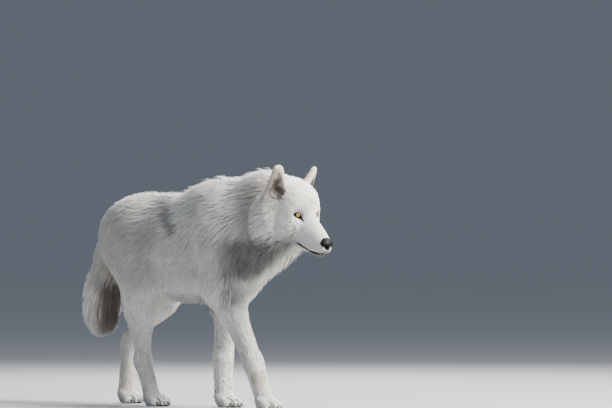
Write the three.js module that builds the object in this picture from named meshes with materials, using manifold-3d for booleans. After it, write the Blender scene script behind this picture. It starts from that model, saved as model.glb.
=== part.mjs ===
// Arctic wolf, life size, as a still museum model: walking, head a little low, tail hanging.
//
// Every surface here is the outer line of the coat. The body is one smooth field of distances,
// built up from named forms (muscle masses and limb lengths). Each named part is the field's
// surface inside its own cutting box, so neighbours meet at thin plane cuts.
//
// Millimetres, +Z up. The wolf faces -Y and its right side is at -X. The floor is Z = 0.

import * as THREE from 'three';
import { mergeVertices } from 'three/addons/utils/BufferGeometryUtils.js';
import Module from 'manifold-3d';

const wasm = await Module();
wasm.setup();

// ---------------------------------------------------------------- driving sizes

const GAP = 0.3; // between parts that touch
const FINEST = 0.05; // edges and slivers of a cut that are shorter than this close up
const FLOOR = 0; // height of the ground
const ORIGIN_FORWARD = 106; // the frame's origin, measured forward of the middle of the trunk
const ORIGIN_RIGHT = -2;

const HEAD_PITCH = 25; // degrees below level
const HEAD_TURN = -5; // degrees, to the wolf's left
const EYE_RADIUS = 12;
const EYE_SPACING = 36; // from the middle plane to the middle of an eyeball
const EYE_SETBACK = 9.5;
const EAR_OPENING = 62; // degrees between the way an ear opens and straight out to the side
const CLAW = { radius: 4.3, length: 27, droop: 17 }; // length counts the buried root
const DEWCLAW = { radius: 4, length: 22, droop: 68 };
const TOE_SPREAD = 17.5; // between the middles of neighbouring toes

const COAT = { color: 0xe9e8e3, roughness: 0.95, metalness: 0 };
const COAT_WARM = { color: 0xe2dccf, roughness: 0.95, metalness: 0 };
const HORN = { color: 0x1c1a19, roughness: 0.45, metalness: 0 };
const NOSE_LEATHER = { color: 0x141314, roughness: 0.35, metalness: 0 };
const AMBER = { color: 0xb9812f, roughness: 0.08, metalness: 0 };

// ---------------------------------------------------------------- frames

const radians = THREE.MathUtils.degToRad;

/** A frame whose own x, y, z are its right, forward and up. Angles are in degrees: turn swings
 *  forward to the right, pitch tips it down, and roll drops the right side. */
function frameAt(origin, { turn = 0, pitch = 0, roll = 0 }, parent) {
  const matrix = new THREE.Matrix4().makeRotationZ(radians(-turn));
  matrix.multiply(new THREE.Matrix4().makeRotationX(radians(-pitch)));
  matrix.multiply(new THREE.Matrix4().makeRotationY(radians(roll)));
  matrix.setPosition(new THREE.Vector3(origin.right, origin.forward, origin.up));
  if (parent) matrix.premultiply(parent.matrix);
  return { matrix, inverse: matrix.clone().invert() };
}

const place = (forward, right, up) => ({ forward, right, up });

// The body frame turns "right, forward, up" into the model's own -X, -Y, +Z.
const BODY = frameAt(place(0, 0, 0), {});
BODY.matrix.makeRotationZ(Math.PI);
BODY.matrix.setPosition(ORIGIN_RIGHT, ORIGIN_FORWARD, 0);
BODY.inverse.copy(BODY.matrix).invert();

const HEAD = frameAt(place(613, -19, 640), { turn: HEAD_TURN, pitch: HEAD_PITCH }, BODY);

// ---------------------------------------------------------------- forms and their distances

/** An egg-shaped mass: radii along forward, right and up, tipped nose-down by pitch degrees. */
function mass(name, centre, radii, blend, options = {}) {
  const frame = frameAt(centre, options, options.frame ?? BODY);
  const [forward, right, up] = radii;
  const distance = (x, y, z) => {
    const e = frame.inverse.elements;
    const px = (e[0] * x + e[4] * y + e[8] * z + e[12]) / right;
    const py = (e[1] * x + e[5] * y + e[9] * z + e[13]) / forward;
    const pz = (e[2] * x + e[6] * y + e[10] * z + e[14]) / up;
    const k0 = Math.hypot(px, py, pz);
    const k1 = Math.hypot(px / right, py / forward, pz / up);
    return k1 < 1e-9 ? -Math.min(forward, right, up) : (k0 * (k0 - 1)) / k1;
  };
  return { name, blend, distance, carve: options.carve };
}

/** A length of limb: a cone with round ends, its width across the body scaled by width. */
function limb(name, start, end, startRadius, endRadius, blend, options = {}) {
  const frame = options.frame ?? BODY;
  const width = options.width ?? 1;
  const middle = (start.right + end.right) / 2;
  const squeeze = (right) => (right - middle) / width;
  const a = new THREE.Vector3(squeeze(start.right), start.forward, start.up);
  const ba = new THREE.Vector3(squeeze(end.right), end.forward, end.up).sub(a);
  const l2 = ba.lengthSq();
  const rr = startRadius - endRadius;
  const a2 = l2 - rr * rr;
  const distance = (x, y, z) => {
    const e = frame.inverse.elements;
    const px = squeeze(e[0] * x + e[4] * y + e[8] * z + e[12]) - a.x;
    const py = e[1] * x + e[5] * y + e[9] * z + e[13] - a.y;
    const pz = e[2] * x + e[6] * y + e[10] * z + e[14] - a.z;
    const along = px * ba.x + py * ba.y + pz * ba.z;
    const beyond = along - l2;
    const x2 = (px * l2 - ba.x * along) ** 2 + (py * l2 - ba.y * along) ** 2
      + (pz * l2 - ba.z * along) ** 2;
    const y2 = along * along * l2;
    const z2 = beyond * beyond * l2;
    const k = Math.sign(rr) * rr * rr * x2;
    if (Math.sign(beyond) * a2 * z2 > k) return Math.sqrt(x2 + z2) / l2 - endRadius;
    if (Math.sign(along) * a2 * y2 < k) return Math.sqrt(x2 + y2) / l2 - startRadius;
    return (Math.sqrt((x2 * a2) / l2) + along * rr) / l2 - startRadius;
  };
  return { name, blend, distance, carve: options.carve };
}

/** Smooth union of two distances over a band blend wide. */
function blendDistance(a, b, blend) {
  const h = Math.max(blend - Math.abs(a - b), 0) / blend;
  return Math.min(a, b) - (h * h * blend) / 4;
}

const joinForms = (forms, x, y, z) => {
  let distance = forms[0].distance(x, y, z);
  for (let i = 1; i < forms.length; i += 1) {
    const { blend, carve } = forms[i];
    const next = forms[i].distance(x, y, z);
    distance = carve ? -blendDistance(-distance, next, blend) : blendDistance(distance, next, blend);
  }
  return distance;
};

// ---------------------------------------------------------------- the wolf's forms

const SIDES = [{ side: 'right', sign: 1 }, { side: 'left', sign: -1 }];
const bothSides = (make) => SIDES.flatMap(({ sign }) => make(sign));
const inHead = { frame: HEAD };

const TRUNK_FORMS = [
  mass('chest', place(115, 0, 530), [235, 138, 180], 60),
  mass('withers', place(180, 0, 637), [155, 82, 100], 60),
  mass('breast', place(208, 0, 455), [132, 92, 118], 60),
  mass('belly', place(-65, 0, 530), [235, 130, 178], 70),
  mass('rump', place(-228, 0, 572), [158, 116, 140], 70),
];

const NECK_FORMS = [
  limb('neck', place(190, 0, 585), place(410, -5, 625), 158, 122, 60, { width: 0.78 }),
  limb('mane', place(190, 0, 672), place(440, -6, 711), 68, 74, 50, { width: 0.85 }),
  limb('nape', place(420, -6, 708), place(512, -12, 690), 74, 64, 40, { width: 0.88 }),
  limb('throat', place(250, 0, 478), place(480, -10, 553), 108, 80, 60, { width: 0.8 }),
];

const HEAD_FORMS = [
  mass('cranium', place(-75, 0, 19), [88, 74, 69], 30, inHead),
  ...bothSides((s) => [
    mass('brow', place(-34, 31 * s, 2), [37, 38, 34], 18, inHead),
    mass('cheek', place(-45, 44 * s, -48), [58, 40, 60], 24, inHead),
    mass('ruff', place(-98, 60 * s, -78), [56, 52, 80], 20, { frame: HEAD, pitch: -18 }),
    mass('ear_base', place(-106, 58 * s, -10), [42, 31, 36], 20, inHead),
  ]),
  limb('bridge', place(-8, 0, -4), place(76, 0, -42), 28, 25, 18, { frame: HEAD, width: 0.76 }),
  limb('muzzle', place(15, 0, -46), place(112, 0, -58), 43, 28, 22, { frame: HEAD, width: 0.9 }),
  limb('jaw', place(0, 0, -85), place(103, 0, -82), 27, 18, 12, { frame: HEAD, width: 1.25 }),
  limb('gullet', place(-15, 0, -95), place(-140, 0, -90), 32, 75, 30, inHead),
  ...bothSides((s) => [
    mass('orbit', place(6, 47 * s, -1), [19, 14, 12], 12, { frame: HEAD, turn: 32 * s, carve: true }),
  ]),
];

/** An ear opens forward and outward: its own frame has right along that opening. */
const EAR_FORMS = (s) => {
  const frame = frameAt(place(-103, 62 * s, 22), { turn: -EAR_OPENING * s }, HEAD);
  const [lean, height] = s > 0 ? [-21, 88] : [-26, 82];
  const tip = place(lean + 2, 15 * s, height - 12);
  return [
    limb('shell', place(0, 0, 0), place(lean, s, height), 42, 18, 14, { frame, width: 0.56 }),
    limb('cup', place(-4, 19 * s, 24), tip, 25, 9, 6, { frame, width: 0.6, carve: true }),
  ];
};

const TAIL_FORMS = [
  limb('tail_root', place(-338, 0, 612), place(-397, 0, 500), 40, 48, 50),
  limb('tail_brush', place(-397, 0, 500), place(-445, 0, 380), 48, 58, 40),
  limb('tail_tip', place(-445, 0, 380), place(-452, 0, 294), 58, 60, 30),
];

/** Middles of the four toe tips; the outer two stop short of the inner two. */
const toeTips = (knuckle, length) => [-1.5, -0.5, 0.5, 1.5].map((index) => place(
  knuckle.forward + length * (Math.abs(index) > 1 ? 0.72 : 1),
  knuckle.right + index * TOE_SPREAD,
  12,
));

/** Forms of one paw, from the knuckle forward to the four toe tips. */
function pawForms(knuckle, length) {
  const toes = toeTips(knuckle, length).map((tip) => {
    const root = place(knuckle.forward, knuckle.right + (tip.right - knuckle.right) * 0.6, 33);
    return limb('toe', root, tip, 19, 15.5, 6);
  });
  return [
    mass('pad', place(knuckle.forward + 8, knuckle.right, 16), [34, 29, 20], 14),
    ...toes,
  ];
}

const LEGS = {
  foreleg_right: {
    shoulder: place(255, 72, 560),
    elbow: place(285, 70, 400),
    forearm: place(320, 62, 330),
    wrist: place(420, 52, 155),
    knuckle: place(472, 50, 42),
    toe: 64,
  },
  foreleg_left: {
    shoulder: place(215, -72, 560),
    elbow: place(165, -70, 400),
    forearm: place(148, -62, 330),
    wrist: place(128, -58, 160),
    knuckle: place(132, -56, 42),
    toe: 70,
  },
  hindleg_right: {
    hip: place(-225, 62, 560),
    stifle: place(-118, 82, 375),
    calf: place(-144, 78, 330),
    hock: place(-145, 66, 150),
    heel: place(-160, 66, 152),
    knuckle: place(-103, 62, 40),
    toe: 62,
  },
  hindleg_left: {
    hip: place(-235, -62, 560),
    stifle: place(-216, -76, 388),
    calf: place(-266, -74, 338),
    hock: place(-378, -64, 206),
    heel: place(-392, -64, 208),
    knuckle: place(-396, -60, 46),
    toe: 60,
  },
};

const FORELEG_FORMS = (leg) => [
  mass('shoulder', leg.shoulder, [92, 56, 150], 70, { pitch: -12 }),
  limb('upper_arm', leg.shoulder, leg.elbow, 70, 60, 60, { width: 0.8 }),
  limb('elbow', leg.elbow, leg.forearm, 60, 47, 40, { width: 0.85 }),
  limb('forearm', leg.forearm, leg.wrist, 45, 31, 30, { width: 0.85 }),
  limb('pastern', leg.wrist, leg.knuckle, 33, 30, 20, { width: 0.95 }),
  ...pawForms(leg.knuckle, leg.toe),
];

const HINDLEG_FORMS = (leg) => [
  limb('thigh', leg.hip, leg.stifle, 118, 74, 70, { width: 0.62 }),
  limb('calf', leg.stifle, leg.calf, 74, 62, 50, { width: 0.66 }),
  limb('shank', leg.calf, leg.hock, 47, 25, 40, { width: 0.85 }),
  limb('heel', leg.hock, leg.heel, 27, 20, 16),
  limb('metatarsus', leg.hock, leg.knuckle, 29, 28, 18, { width: 0.9 }),
  ...pawForms(leg.knuckle, leg.toe),
];

const CORE = [...TRUNK_FORMS, ...NECK_FORMS, ...HEAD_FORMS];
const BRANCHES = [
  { forms: FORELEG_FORMS(LEGS.foreleg_right), blend: 50 },
  { forms: FORELEG_FORMS(LEGS.foreleg_left), blend: 50 },
  { forms: HINDLEG_FORMS(LEGS.hindleg_right), blend: 50 },
  { forms: HINDLEG_FORMS(LEGS.hindleg_left), blend: 50 },
  { forms: TAIL_FORMS, blend: 40 },
  { forms: EAR_FORMS(1), blend: 12 },
  { forms: EAR_FORMS(-1), blend: 12 },
];

/** Distance to the outside of the whole coat. Limbs blend with the trunk, not with each other. */
function coatDistance(x, y, z) {
  const core = joinForms(CORE, x, y, z);
  let nearest = core;
  for (const { forms, blend } of BRANCHES) {
    const branch = joinForms(forms, x, y, z);
    nearest = Math.min(nearest, blendDistance(core, branch, blend));
  }
  return nearest;
}

// ---------------------------------------------------------------- surface of the field

const CORNERS = [0, 1, 2, 3, 4, 5, 6, 7].map((i) => [i & 1, (i >> 1) & 1, (i >> 2) & 1]);
const EDGES = CORNERS.flatMap((corner, i) => [1, 2, 4].filter((bit) => !(i & bit))
  .map((bit) => [i, i | bit]));

/** Move a point on to the surface, along the field's slope and by less than half a cell. */
function settle(point, distance, cell) {
  const step = 0.5;
  for (let pass = 0; pass < 2; pass += 1) {
    const here = distance(point.x, point.y, point.z);
    const slope = new THREE.Vector3(
      distance(point.x + step, point.y, point.z) - here,
      distance(point.x, point.y + step, point.z) - here,
      distance(point.x, point.y, point.z + step) - here,
    ).divideScalar(step);
    const shift = THREE.MathUtils.clamp(here / Math.max(slope.length(), 0.3), -cell / 4, cell / 4);
    point.addScaledVector(slope.normalize(), -shift);
  }
}

/** Closed mesh of the field inside a box in a frame: one vertex to a cell that it crosses. */
function netSurface(frame, low, high, cell, distance) {
  const counts = low.map((value, axis) => Math.ceil((high[axis] - value) / cell) + 5);
  const [nx, ny, nz] = counts;
  const start = low.map((value) => value - 2 * cell);
  const index = (i, j, k) => i + nx * (j + ny * k);
  const world = new THREE.Vector3();
  const sample = (x, y, z) => {
    world.set(x, y, z).applyMatrix4(frame.matrix);
    return distance(world.x, world.y, world.z);
  };
  const field = new Float64Array(nx * ny * nz);
  for (let k = 0; k < nz; k += 1) {
    for (let j = 0; j < ny; j += 1) {
      for (let i = 0; i < nx; i += 1) {
        const rim = Math.min(i, j, k, nx - 1 - i, ny - 1 - j, nz - 1 - k) === 0;
        const value = sample(start[0] + i * cell, start[1] + j * cell, start[2] + k * cell);
        field[index(i, j, k)] = rim ? Math.max(value, cell) : value;
      }
    }
  }
  const vertexOf = new Int32Array(nx * ny * nz).fill(-1);
  const positions = [];
  for (let k = 0; k < nz - 1; k += 1) {
    for (let j = 0; j < ny - 1; j += 1) {
      for (let i = 0; i < nx - 1; i += 1) {
        const values = CORNERS.map(([a, b, c]) => field[index(i + a, j + b, k + c)]);
        const sum = [0, 0, 0];
        let crossings = 0;
        for (const [from, to] of EDGES) {
          if (values[from] < 0 !== values[to] < 0) {
            const t = values[from] / (values[from] - values[to]);
            for (let axis = 0; axis < 3; axis += 1) {
              sum[axis] += CORNERS[from][axis] * (1 - t) + CORNERS[to][axis] * t;
            }
            crossings += 1;
          }
        }
        if (crossings > 0) {
          vertexOf[index(i, j, k)] = positions.length / 3;
          const inner = Math.min(i, j, k, nx - 2 - i, ny - 2 - j, nz - 2 - k) > 0;
          world.set(...[i, j, k].map((n, axis) => start[axis] + (n + sum[axis] / crossings) * cell));
          world.applyMatrix4(frame.matrix);
          if (inner) settle(world, distance, cell);
          positions.push(world.x, world.y, world.z);
        }
      }
    }
  }
  const triangles = [];
  const steps = [1, nx, nx * ny];
  for (let k = 0; k < nz - 1; k += 1) {
    for (let j = 0; j < ny - 1; j += 1) {
      for (let i = 0; i < nx - 1; i += 1) {
        const here = index(i, j, k);
        const inside = field[here] < 0;
        for (let axis = 0; axis < 3; axis += 1) {
          if (inside !== field[here + steps[axis]] < 0) {
            const u = steps[(axis + 1) % 3];
            const v = steps[(axis + 2) % 3];
            const ring = [here - u - v, here - v, here, here - u].map((n) => vertexOf[n]);
            if (!inside) ring.reverse();
            triangles.push(ring[0], ring[1], ring[2], ring[0], ring[2], ring[3]);
          }
        }
      }
    }
  }
  return new wasm.Manifold(new wasm.Mesh({
    numProp: 3,
    vertProperties: new Float32Array(positions),
    triVerts: new Uint32Array(triangles),
  }));
}

// ---------------------------------------------------------------- solids and cuts

/** The closed three.js geometry as a solid, moved by a matrix. */
function solidOf(geometry, matrix) {
  const bare = geometry.clone().applyMatrix4(matrix);
  bare.deleteAttribute('normal');
  bare.deleteAttribute('uv');
  const merged = mergeVertices(bare, 1e-4);
  return new wasm.Manifold(new wasm.Mesh({
    numProp: 3,
    vertProperties: new Float32Array(merged.attributes.position.array),
    triVerts: new Uint32Array(merged.index.array),
  }));
}

/** A cutting box of a section, shrunk or grown on every side. */
function cutter(section, growth) {
  const size = section.low.map((value, axis) => section.high[axis] - value + 2 * growth);
  const middle = section.low.map((value, axis) => (section.high[axis] + value) / 2);
  const matrix = section.frame.matrix.clone();
  matrix.multiply(new THREE.Matrix4().makeTranslation(...middle));
  return solidOf(new THREE.BoxGeometry(...size), matrix);
}

/** A part's box: spans along right, forward and up in a frame tipped by pitch about origin. */
function section(name, origin, spans, cell, options = {}) {
  const frame = frameAt(origin, options, options.frame ?? BODY);
  const low = spans.map(([from]) => from);
  const high = spans.map(([, to]) => to);
  return { name, frame, low, high, cell, finish: options.finish ?? COAT };
}

/** The biggest single piece of a solid. */
const largest = (solid) => solid.decompose().reduce((a, b) => (a.volume() > b.volume() ? a : b));

function geometryOf(solid) {
  const mesh = solid.getMesh();
  const geometry = new THREE.BufferGeometry();
  geometry.setAttribute('position', new THREE.BufferAttribute(mesh.vertProperties, 3));
  geometry.setIndex(new THREE.BufferAttribute(mesh.triVerts, 1));
  return geometry;
}

const wolf = new THREE.Group();

function addPart(name, solid, finish) {
  const mesh = new THREE.Mesh(geometryOf(solid), new THREE.MeshStandardMaterial(finish));
  mesh.name = name;
  wolf.add(mesh);
}

// ---------------------------------------------------------------- claws

/** A curved claw along its own +Y, bending to -Z as it narrows: a closed cone of rings. */
function clawGeometry({ radius, length }) {
  const sides = 5;
  const rings = 2;
  const points = [0, 0, 0];
  for (let ring = 0; ring < rings; ring += 1) {
    const t = ring / rings;
    for (let side = 0; side < sides; side += 1) {
      const angle = (side / sides) * 2 * Math.PI;
      const reach = radius * (1 - t * t);
      points.push(Math.cos(angle) * reach, length * t, Math.sin(angle) * reach - length * t * t * 0.3);
    }
  }
  points.push(0, length, -length * 0.34);
  const last = rings * sides + 1;
  const faces = [];
  for (let side = 0; side < sides; side += 1) {
    const next = (side + 1) % sides;
    faces.push(0, 1 + side, 1 + next);
    for (let ring = 0; ring < rings - 1; ring += 1) {
      const here = 1 + ring * sides;
      faces.push(here + side, here + sides + side, here + next);
      faces.push(here + next, here + sides + side, here + sides + next);
    }
    faces.push(last - sides + side, last, last - sides + next);
  }
  const geometry = new THREE.BufferGeometry();
  geometry.setAttribute('position', new THREE.Float32BufferAttribute(points, 3));
  geometry.setIndex(faces);
  return geometry;
}

/** A claw's solid with its root at a place in the body, grown all round by growth. */
function clawSolid(root, size, growth) {
  const { matrix } = frameAt(root, { pitch: size.droop }, BODY);
  const grown = { radius: size.radius + growth, length: size.length + growth };
  return solidOf(clawGeometry(grown), matrix.clone().multiply(
    new THREE.Matrix4().makeTranslation(0, -growth / 2, 0)));
}

/** Every claw of a leg: its name, root and size. */
function clawsOf(legName, leg) {
  const claws = toeTips(leg.knuckle, leg.toe).map((tip, index) => ({
    name: `${legName}_claw_${index + 1}`,
    root: place(tip.forward + 1, tip.right, 19.5),
    size: CLAW,
  }));
  if (legName.startsWith('foreleg')) {
    const inward = -Math.sign(leg.knuckle.right);
    const root = place(leg.knuckle.forward - 7, leg.knuckle.right + 26 * inward, 56);
    claws.push({ name: `${legName}_dewclaw`, root, size: DEWCLAW });
  }
  return claws;
}

// ---------------------------------------------------------------- sections, front to back

const PAW_TOP = 66; // height of the cut above each paw

const sideSpan = (sign, near, far) => (sign > 0 ? [near, far] : [-far, -near]);

const earSection = ({ side, sign }) => section(
  `ear_${side}`, place(-104, 65 * sign, 45),
  [sign > 0 ? [-76, 48] : [-48, 76], [-48, 38], [6, 112]], 11.5,
  { ...inHead, roll: 46 * sign, finish: COAT_WARM },
);

const NOSE = section('nose', place(126, 0, -48), [[-30, 30], [-6, 40], [-24, 40]], 11, {
  ...inHead, finish: NOSE_LEATHER,
});
const LOWER_JAW = section('lower_jaw', place(12, 0, -89), [[-70, 70], [0, 150], [-45, 0]], 14.5, {
  ...inHead, pitch: -5,
});
const HEAD_SECTION = section('head', place(0, 0, 0), [[-130, 130], [-140, 170], [-152, 120]], 18.5, inHead);
const NECK_SECTION = section('neck', place(245, 0, 605), [[-190, 190], [0, 330], [-290, 260]], 46, {
  pitch: -31.5,
});
const TAIL_SECTION = section('tail', place(-385, 0, 560), [[-78, 78], [-190, 20], [-340, 0]], 33, {
  pitch: 5,
});
const TRUNK_SECTION = section('trunk', place(0, 0, 500), [[-200, 200], [-480, 420], [-240, 300]], 60);

const forelegSections = ({ side, sign }) => {
  const leg = LEGS[`foreleg_${side}`];
  const slope = THREE.MathUtils.radToDeg(
    Math.atan2(leg.wrist.forward - leg.forearm.forward, leg.forearm.up - leg.wrist.up));
  return [
    section(`foreleg_${side}_paw`, place(leg.knuckle.forward, 0, 0),
      [sideSpan(sign, 1, 130), [-110, 120], [FLOOR - GAP / 2, PAW_TOP]], 16),
    section(`foreleg_${side}_forearm`, place(leg.wrist.forward, 0, leg.wrist.up),
      [sideSpan(sign, 1, 140), [-95, 95], [-150, 225]], 28, { pitch: -slope }),
  ];
};

const hindlegSections = ({ side, sign }) => {
  const leg = LEGS[`hindleg_${side}`];
  const slope = THREE.MathUtils.radToDeg(
    Math.atan2(leg.hock.forward - leg.calf.forward, leg.calf.up - leg.hock.up));
  return [
    section(`hindleg_${side}_paw`, place(leg.knuckle.forward, 0, 0),
      [sideSpan(sign, 1, 130), [-70, 110], [FLOOR - GAP / 2, PAW_TOP]], 16),
    section(`hindleg_${side}_hock`, place(leg.hock.forward, 0, PAW_TOP),
      [sideSpan(sign, 1, 130), [-80, 90], [0, leg.hock.up - 26]], 21),
    section(`hindleg_${side}_shank`, place(leg.hock.forward, 0, leg.hock.up + 40),
      [sideSpan(sign, 1, 140), [-90, 100], [-60, 128]], 27, { pitch: -slope }),
    section(`hindleg_${side}_thigh`, place(-200, 0, 480),
      [sideSpan(sign, 1, 180), [-230, 190], [-330, 0]], 46, { pitch: 20 }),
  ];
};

const SECTIONS = [
  ...SIDES.map(earSection),
  NOSE,
  LOWER_JAW,
  HEAD_SECTION,
  NECK_SECTION,
  TAIL_SECTION,
  ...SIDES.flatMap(forelegSections),
  ...SIDES.flatMap(hindlegSections),
  TRUNK_SECTION,
];

// ---------------------------------------------------------------- building

/** Eyeball middles in the head's frame. */
const eyeMiddle = (sign) => new THREE.Vector3(EYE_SPACING * sign, -EYE_SETBACK, 0);

const eyeSolid = (sign, radius) => solidOf(
  new THREE.SphereGeometry(radius, 9, 6),
  HEAD.matrix.clone().multiply(new THREE.Matrix4().makeTranslation(...eyeMiddle(sign))),
);

const claws = Object.entries(LEGS).flatMap(([name, leg]) => clawsOf(name, leg));
const taken = [];
for (const part of SECTIONS) {
  let solid = netSurface(part.frame, part.low, part.high, part.cell, coatDistance);
  solid = solid.intersect(cutter(part, -GAP / 2));
  for (const earlier of taken) solid = solid.subtract(earlier);
  if (part.name === 'head') {
    for (const { sign } of SIDES) solid = solid.subtract(eyeSolid(sign, EYE_RADIUS + GAP * 1.5));
  }
  if (part.name.endsWith('_paw')) {
    for (const { root, size } of claws) solid = solid.subtract(clawSolid(root, size, GAP));
  }
  solid = largest(solid.setTolerance(FINEST));
  addPart(part.name, solid, part.finish);
  taken.push(cutter(part, GAP / 2));
}
for (const { side, sign } of SIDES) addPart(`eye_${side}`, eyeSolid(sign, EYE_RADIUS), AMBER);
for (const { name, root, size } of claws) addPart(name, clawSolid(root, size, 0), HORN);

export default wolf;
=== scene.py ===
"""A standing arctic wolf, life size: one skin, a coat of solid locks, eyes, nose, claws, whiskers."""

import sys
import logging
import math
from dataclasses import dataclass, field
from enum import Enum

import bmesh
import bpy
import numpy as np
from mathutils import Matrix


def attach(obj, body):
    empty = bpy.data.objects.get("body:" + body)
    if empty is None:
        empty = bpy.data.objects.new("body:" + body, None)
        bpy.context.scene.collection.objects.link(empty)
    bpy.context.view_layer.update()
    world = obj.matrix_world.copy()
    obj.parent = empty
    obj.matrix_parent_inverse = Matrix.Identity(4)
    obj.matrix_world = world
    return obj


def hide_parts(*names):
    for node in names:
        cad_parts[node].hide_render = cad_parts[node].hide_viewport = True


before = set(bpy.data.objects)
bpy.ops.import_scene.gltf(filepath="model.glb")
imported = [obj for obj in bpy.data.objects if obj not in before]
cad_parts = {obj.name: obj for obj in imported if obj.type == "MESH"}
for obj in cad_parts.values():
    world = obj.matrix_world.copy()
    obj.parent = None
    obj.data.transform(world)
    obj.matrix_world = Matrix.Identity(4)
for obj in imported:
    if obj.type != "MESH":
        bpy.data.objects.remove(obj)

import openvdb
from mathutils import Vector

LOG = logging.getLogger("wolf")
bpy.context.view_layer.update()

Array = np.ndarray
Triple = tuple[float, float, float]
Material, Node, Socket, Piece = bpy.types.Material, bpy.types.Node, bpy.types.NodeSocket, bpy.types.Object

MM = 0.001  # every size below is in millimetres; meshes are written in metres
SEED = 20261127
NEAR = 45.0  # a form further than this past its blend is left out of a distance
FAR = 1000.0  # the distance where no form is near
ORIGIN_FORWARD = 106.0
ORIGIN_RIGHT = -2.0
BAKE_MAP = "OFBake"
COLOUR = "coat_colour"
ALONG = "along_hair"
NOSE_SEAT = (0.0, 131.0, -46.0)  # right, forward, up in the head, where the nose leather sits


# ---- small vector helpers


def unit(vectors: Array) -> Array:
    """Vectors of length one.

    Args:
        vectors: Any array whose last axis is x, y, z.
    Returns:
        The same directions with length one.
    """
    length = np.linalg.norm(vectors, axis=-1, keepdims=True)
    return vectors / np.maximum(length, 1e-9)


def dot(a: Array, b: Array) -> Array:
    """Row by row dot product, keeping the last axis."""
    return (a * b).sum(-1, keepdims=True)


def smoothstep(low: float, high: float, value: Array) -> Array:
    """Zero below low, one above high, and an even S between.

    Args:
        low: Where the step starts.
        high: Where it ends.
        value: What is stepped.
    Returns:
        The step for each value.
    """
    t = np.clip((value - low) / (high - low), 0.0, 1.0)
    return t * t * (3.0 - 2.0 * t)


def waves(points: Array, size: float, phase: float) -> Array:
    """A soft wandering field between about -1 and 1.

    Args:
        points: Places in millimetres.
        size: Rough distance from one crest to the next.
        phase: Sets one field apart from another.
    Returns:
        One value per place.
    """
    x, y, z = (points * (2.0 * math.pi / size)).T
    first = np.sin(x + 1.7 * np.sin(0.63 * y + phase) + phase)
    second = np.sin(y * 0.91 + 1.3 * np.sin(0.71 * z - phase) + 2.0 * phase)
    third = np.sin(z * 1.13 + 1.5 * np.sin(0.57 * x + 3.0 * phase))
    return (first + second + third) / 3.0


# ---- frames


@dataclass(frozen=True)
class Axes:
    """A placed set of axes whose rows are right, forward and up."""

    rotation: Array
    origin: Array

    def local(self, points: Array) -> Array:
        """Places in the shared frame, as right, forward, up here."""
        return (points - self.origin.astype(points.dtype)) @ self.rotation.T.astype(points.dtype)

    def world(self, points: Array) -> Array:
        """Places given as right, forward, up here, in the shared frame."""
        return points @ self.rotation + self.origin

    def direction(self, forward: float, right: float, up: float) -> Array:
        """A direction given here, in the shared frame."""
        return np.array([right, forward, up]) @ self.rotation

    def at(self, place: Triple, turn: float = 0.0, pitch: float = 0.0) -> "Axes":
        """A frame placed in this one.

        Args:
            place: Its origin as forward, right, up.
            turn: Degrees that forward swings to the right.
            pitch: Degrees that forward tips down.
        Returns:
            The new frame.
        """
        a, b = math.radians(-turn), math.radians(-pitch)
        about_up = np.array([[math.cos(a), -math.sin(a), 0], [math.sin(a), math.cos(a), 0], [0, 0, 1]])
        about_right = np.array([[1, 0, 0], [0, math.cos(b), -math.sin(b)], [0, math.sin(b), math.cos(b)]])
        forward, right, up = place
        turned = (about_up @ about_right).T @ self.rotation
        return Axes(turned, self.world(np.array([right, forward, up])))


BODY = Axes(
    np.array([[-1.0, 0.0, 0.0], [0.0, -1.0, 0.0], [0.0, 0.0, 1.0]]),
    np.array([ORIGIN_RIGHT, ORIGIN_FORWARD, 0.0]),
)
HEAD = BODY.at((613.0, -19.0, 640.0), turn=-5.0, pitch=25.0)


# ---- forms of the body


class Area(Enum):
    """The parts of the coat, each its own mesh."""

    FACE = "face"
    RUFF = "ruff"
    EAR = "ear"
    NECK = "neck"
    SHOULDER = "shoulder"
    FLANK = "flank"
    RUMP = "rump"
    TAIL = "tail"
    FORELEG = "foreleg"
    THIGH = "thigh"
    SHANK = "shank"


@dataclass(frozen=True)
class Pelt:
    """How the hair grows on one form, in millimetres."""

    depth: float
    length: float
    width: float
    spacing: float


FACE = Pelt(2.2, 9.0, 1.4, 1.9)
MUZZLE = Pelt(2.0, 6.5, 1.1, 1.65)
CROWN = Pelt(13.0, 23.0, 1.8, 2.3)
CHEEK = Pelt(13.0, 29.0, 2.0, 2.4)
RUFF = Pelt(30.0, 66.0, 2.6, 2.7)
EAR = Pelt(3.0, 13.0, 1.4, 1.9)
MANE = Pelt(52.0, 92.0, 3.2, 3.9)
NAPE = Pelt(26.0, 58.0, 2.4, 2.8)
THROAT = Pelt(40.0, 66.0, 3.0, 3.8)
BACK = Pelt(38.0, 68.0, 2.9, 3.1)
BELLY = Pelt(34.0, 62.0, 2.9, 3.3)
RUMP = Pelt(34.0, 58.0, 2.8, 3.0)
BRUSH = Pelt(30.0, 66.0, 3.0, 3.6)
UPPER_LEG = Pelt(24.0, 46.0, 2.6, 3.1)
LOWER_LEG = Pelt(8.0, 20.0, 2.2, 3.1)
FOOT = Pelt(3.2, 10.0, 1.8, 2.7)
GULLET = Pelt(24.0, 46.0, 2.6, 3.0)
ELBOW = Pelt(17.0, 34.0, 2.5, 3.2)
PASTERN = Pelt(5.5, 15.0, 2.0, 2.9)
THIGH = Pelt(28.0, 52.0, 2.7, 3.0)
CALF = Pelt(17.0, 36.0, 2.5, 3.0)
HEEL = Pelt(5.0, 16.0, 2.1, 2.9)
METATARSUS = Pelt(5.5, 16.0, 2.1, 2.9)
TAIL_ROOT = Pelt(20.0, 52.0, 2.8, 3.5)


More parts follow.
